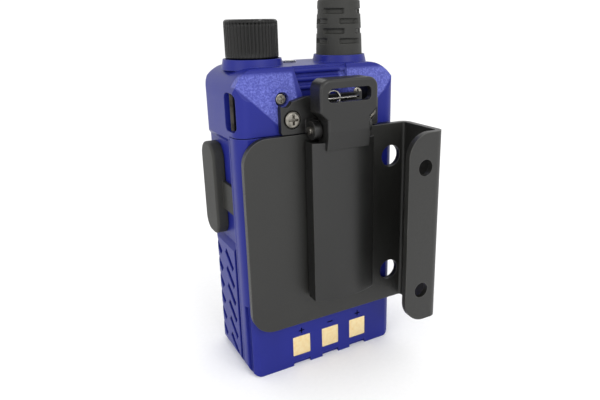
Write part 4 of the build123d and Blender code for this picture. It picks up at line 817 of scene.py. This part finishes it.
class RADIO_OT_antenna(bpy.types.Operator):
    """Rubber antenna: foot with rows of relief windows, and the tapered whip"""

    bl_idname = "radio.antenna"
    bl_label = "Antenna"

    def execute(self, context):
        size = context.scene.radio_antenna
        rubber = moulded_rubber()
        low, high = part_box("antenna_base")
        middle = (low + high) / 2
        outer = (high.x - low.x) / 2
        angle = np.linspace(0, 2 * math.pi, FOOT_COLUMNS, endpoint=False)
        height = np.concatenate([[low.z], np.linspace(low.z + 0.05 * MM, high.z, FOOT_ROWS), [high.z]])
        rise = (height - low.z) / (high.z - low.z)
        radius = outer * (1 - size.taper * rise ** 1.3) - 0.5 * MM * step(height, high.z - 0.8 * MM, high.z)
        radius[0] = outer * 0.6
        radius[-1] = outer * 0.6
        cut = np.zeros((len(height), FOOT_COLUMNS))
        rows = int((high.z - low.z - size.ring) // size.row_pitch)
        for row in range(rows):
            z = low.z + size.ring + (row + 0.5) * size.row_pitch
            edge = size.window_height / 2
            tall = 1 - step(abs(height - z), edge - size.window_edge, edge + size.window_edge)
            turned_by = row % 2 * math.pi / size.windows
            wave = np.cos(size.windows * (angle - turned_by))
            cut += tall[:, None] * step(wave, -0.45, -0.25)
        radii = radius[:, None] - size.window_depth * cut
        made = turned("antenna_foot", middle, radii, height[:, None], FOOT_COLUMNS, rubber)
        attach(made, "antenna")
        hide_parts("antenna_base")
        low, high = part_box("antenna_whip")
        middle = (low + high) / 2
        outer = (high.x - low.x) / 2
        tip = outer * size.tip
        bend = np.linspace(0, math.pi / 2, TIP_ROWS + 2)[1:-1]
        straight = np.linspace(low.z, high.z - tip, WHIP_ROWS)
        height = np.concatenate([straight, high.z - tip + tip * np.sin(bend)])
        slim = outer + (tip - outer) * (straight - low.z) / (straight[-1] - low.z)
        radii = np.concatenate([slim, tip * np.cos(bend)])[:, None] * np.ones(WHIP_COLUMNS)
        made = turned("antenna_sleeve", middle, radii, height[:, None], WHIP_COLUMNS, rubber)
        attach(made, "antenna")
        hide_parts("antenna_whip")
        paint(gold_plate(), "antenna_socket", "antenna_connector")
        return {"FINISHED"}


class RADIO_OT_side_parts(bpy.types.Operator):
    """Jack cover on one side, talk keys on the other"""

    bl_idname = "radio.side_parts"
    bl_label = "Side parts"

    def execute(self, context):
        paint(moulded_rubber(), "jack_cover")
        paint(moulded_abs_black(), "jack_block")
        paint(silicone_dark(), "talk_key", "monitor_key")
        paint(silicone_orange(), "call_key")
        return {"FINISHED"}


class RADIO_OT_keypad(bpy.types.Operator):
    """Keypad keys with their printed figures"""

    bl_idname = "radio.keypad"
    bl_label = "Keypad"

    def execute(self, context):
        size = context.scene.radio_marks
        keys = silicone_dark()
        ink = print_ink("key_print", "#e9e9e4")
        figures = "123A456b789C-0Fd"
        for number, figure in enumerate(figures, start=1):
            name = f"keypad_key_{number:02d}"
            paint(keys, name)
            low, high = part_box(name)
            rows = figure_bars(figure, (low.x + high.x) / 2, (low.z + high.z) / 2,
                               low.y - size.thickness, low.y + size.thickness, size.height, size.stroke)
            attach(bars(f"{name}_figure", rows, ink), name)
        for name in ("mode_key", "band_key"):
            paint(silicone_orange(), name)
        return {"FINISHED"}


class RADIO_OT_display(bpy.types.Operator):
    """Display window, panel and the figures it shows"""

    bl_idname = "radio.display"
    bl_label = "Display"

    def execute(self, context):
        paint(clear_plastic("display_acrylic", "#f2f4f4", 0.03), "display_window")
        paint(display_panel(), "display_module")
        low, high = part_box("display_module")
        size = context.scene.radio_marks
        rows = []
        for line, text in ((0.5, "145500"), (-0.5, "433075")):
            z = (low.z + high.z) / 2 + line * size.display_line
            for place, figure in enumerate(text):
                x = (low.x + high.x) / 2 + (place - (len(text) - 1) / 2) * size.display_pitch
                rows += figure_bars(figure, x, z, low.y - size.thickness, low.y + size.thickness,
                                    size.display_height, size.display_stroke)
        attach(bars("display_figures", rows, print_ink("crystal_dark", "#1c2422")), "radio")
        return {"FINISHED"}


class RADIO_OT_inside(bpy.types.Operator):
    """Chassis, boards, loudspeaker and lamps"""

    bl_idname = "radio.inside"
    bl_label = "Inside"

    def execute(self, context):
        paint(diecast_zinc(), "chassis")
        paint(board_laminate(), "main_board", "battery_board", "side_switches")
        paint(silicone_dark(), "keypad_membrane")
        paint(moulded_rubber(), "speaker", "microphone")
        paint(clear_plastic("torch_acrylic", "#ffffff", 0.05), "torch_lens")
        paint(clear_plastic("light_pipe", "#c9e8c8", 0.15), "status_light")
        paint(print_ink("lamp_white", "#f2efe2"), "torch_lamp")
        return {"FINISHED"}


class RADIO_OT_stage(bpy.types.Operator):
    """White paper floor, soft lights and the camera"""

    bl_idname = "radio.stage"
    bl_label = "Stage"

    def execute(self, context):
        size = context.scene.radio_stage
        half = size.floor_half
        line = np.linspace(-half, half, FLOOR_LINES)
        x, y = np.meshgrid(line, line)
        points = np.stack([x, y, 0 * x], axis=-1).reshape(-1, 3)
        here = np.arange(FLOOR_LINES ** 2).reshape(FLOOR_LINES, FLOOR_LINES)
        quads = np.stack([here[:-1, :-1], here[:-1, 1:], here[1:, 1:], here[1:, :-1]], axis=-1).reshape(-1, 4)
        floor = link_mesh("floor", points, quads.tolist(), seamless_paper())
        self.lights(size)
        self.camera(context.scene, size)
        return {"FINISHED"}

    def lights(self, size):
        """Big soft key above the back, one on the knob side, a low one for the foot, and a white sky."""
        world = bpy.data.worlds.new("studio")
        world.use_nodes = True
        sky = world.node_tree.nodes["Background"]
        sky.inputs["Color"].default_value = (1, 1, 1, 1)
        sky.inputs["Strength"].default_value = size.sky
        bpy.context.scene.world = world
        bpy.context.scene.view_settings.view_transform = "Standard"
        target = Vector((0, 0, 60 * MM))
        # Name, place and width in metres, and power.
        rows = (("key", (-0.15, 0.85, 0.60), 0.55, size.key_power),
                ("side", (0.85, 0.25, 0.40), 0.50, size.side_power),
                ("low", (0.45, 0.95, 0.12), 0.35, size.low_power))
        for name, place, width, power in rows:
            light = bpy.data.lights.new(name, "AREA")
            light.size = width
            light.energy = power
            lamp = bpy.data.objects.new(name, light)
            lamp.location = place
            lamp.rotation_euler = (target - Vector(place)).to_track_quat("-Z", "Y").to_euler()
            bpy.context.scene.collection.objects.link(lamp)

    def camera(self, scene, size):
        """Camera looking back along its turn and pitch, rolled and shifted."""
        level = math.cos(size.pitch)
        back = Vector((math.sin(size.turn) * level, -math.cos(size.turn) * level, math.sin(size.pitch)))
        right = (-back).cross(Vector((0, 0, 1))).normalized()
        up = right.cross(-back)
        across = math.cos(size.roll) * right + math.sin(size.roll) * up
        upward = math.cos(size.roll) * up - math.sin(size.roll) * right
        data = bpy.data.cameras.new("camera")
        data.lens = size.lens
        data.shift_x, data.shift_y = size.shift
        data.clip_start = 10 * MM
        made = bpy.data.objects.new("camera", data)
        turn = Matrix((across, upward, back)).transposed().to_4x4()
        made.matrix_world = Matrix.Translation(Vector(size.place)) @ turn
        scene.collection.objects.link(made)
        scene.camera = made


SETTINGS = {"radio_finish": FinishSettings, "radio_knob": KnobSettings, "radio_antenna": AntennaSettings,
            "radio_spring": SpringSettings, "radio_marks": MarkSettings, "radio_stage": StageSettings}
OPERATORS = (RADIO_OT_case, RADIO_OT_contact_marks, RADIO_OT_bracket, RADIO_OT_clip, RADIO_OT_spring,
             RADIO_OT_knob, RADIO_OT_antenna, RADIO_OT_side_parts, RADIO_OT_keypad, RADIO_OT_display,
             RADIO_OT_inside, RADIO_OT_stage)


class RADIO_PT_panel(bpy.types.Panel):
    """Sidebar panel: a button for each piece and the values it is built from"""

    bl_label = "Two-way radio"
    bl_idname = "RADIO_PT_panel"
    bl_space_type = "VIEW_3D"
    bl_region_type = "UI"
    bl_category = "Radio"

    def draw(self, context):
        for operator in OPERATORS:
            self.layout.operator(operator.bl_idname)
        for name, group in SETTINGS.items():
            box = self.layout.box()
            box.label(text=group.__doc__)
            for value in group.__annotations__:
                box.prop(getattr(context.scene, name), value)


def register():
    for group in (*SETTINGS.values(), *OPERATORS, RADIO_PT_panel):
        bpy.utils.register_class(group)
    for name, group in SETTINGS.items():
        setattr(bpy.types.Scene, name, PointerProperty(type=group))


def unregister():
    for name in SETTINGS:
        delattr(bpy.types.Scene, name)
    for group in (RADIO_PT_panel, *reversed(OPERATORS), *SETTINGS.values()):
        bpy.utils.unregister_class(group)


def main():
    """Builds every piece in order."""
    register()
    for operator in OPERATORS:
        family, name = operator.bl_idname.split(".")
        getattr(getattr(bpy.ops, family), name)()


if __name__ == "__main__":
    main()
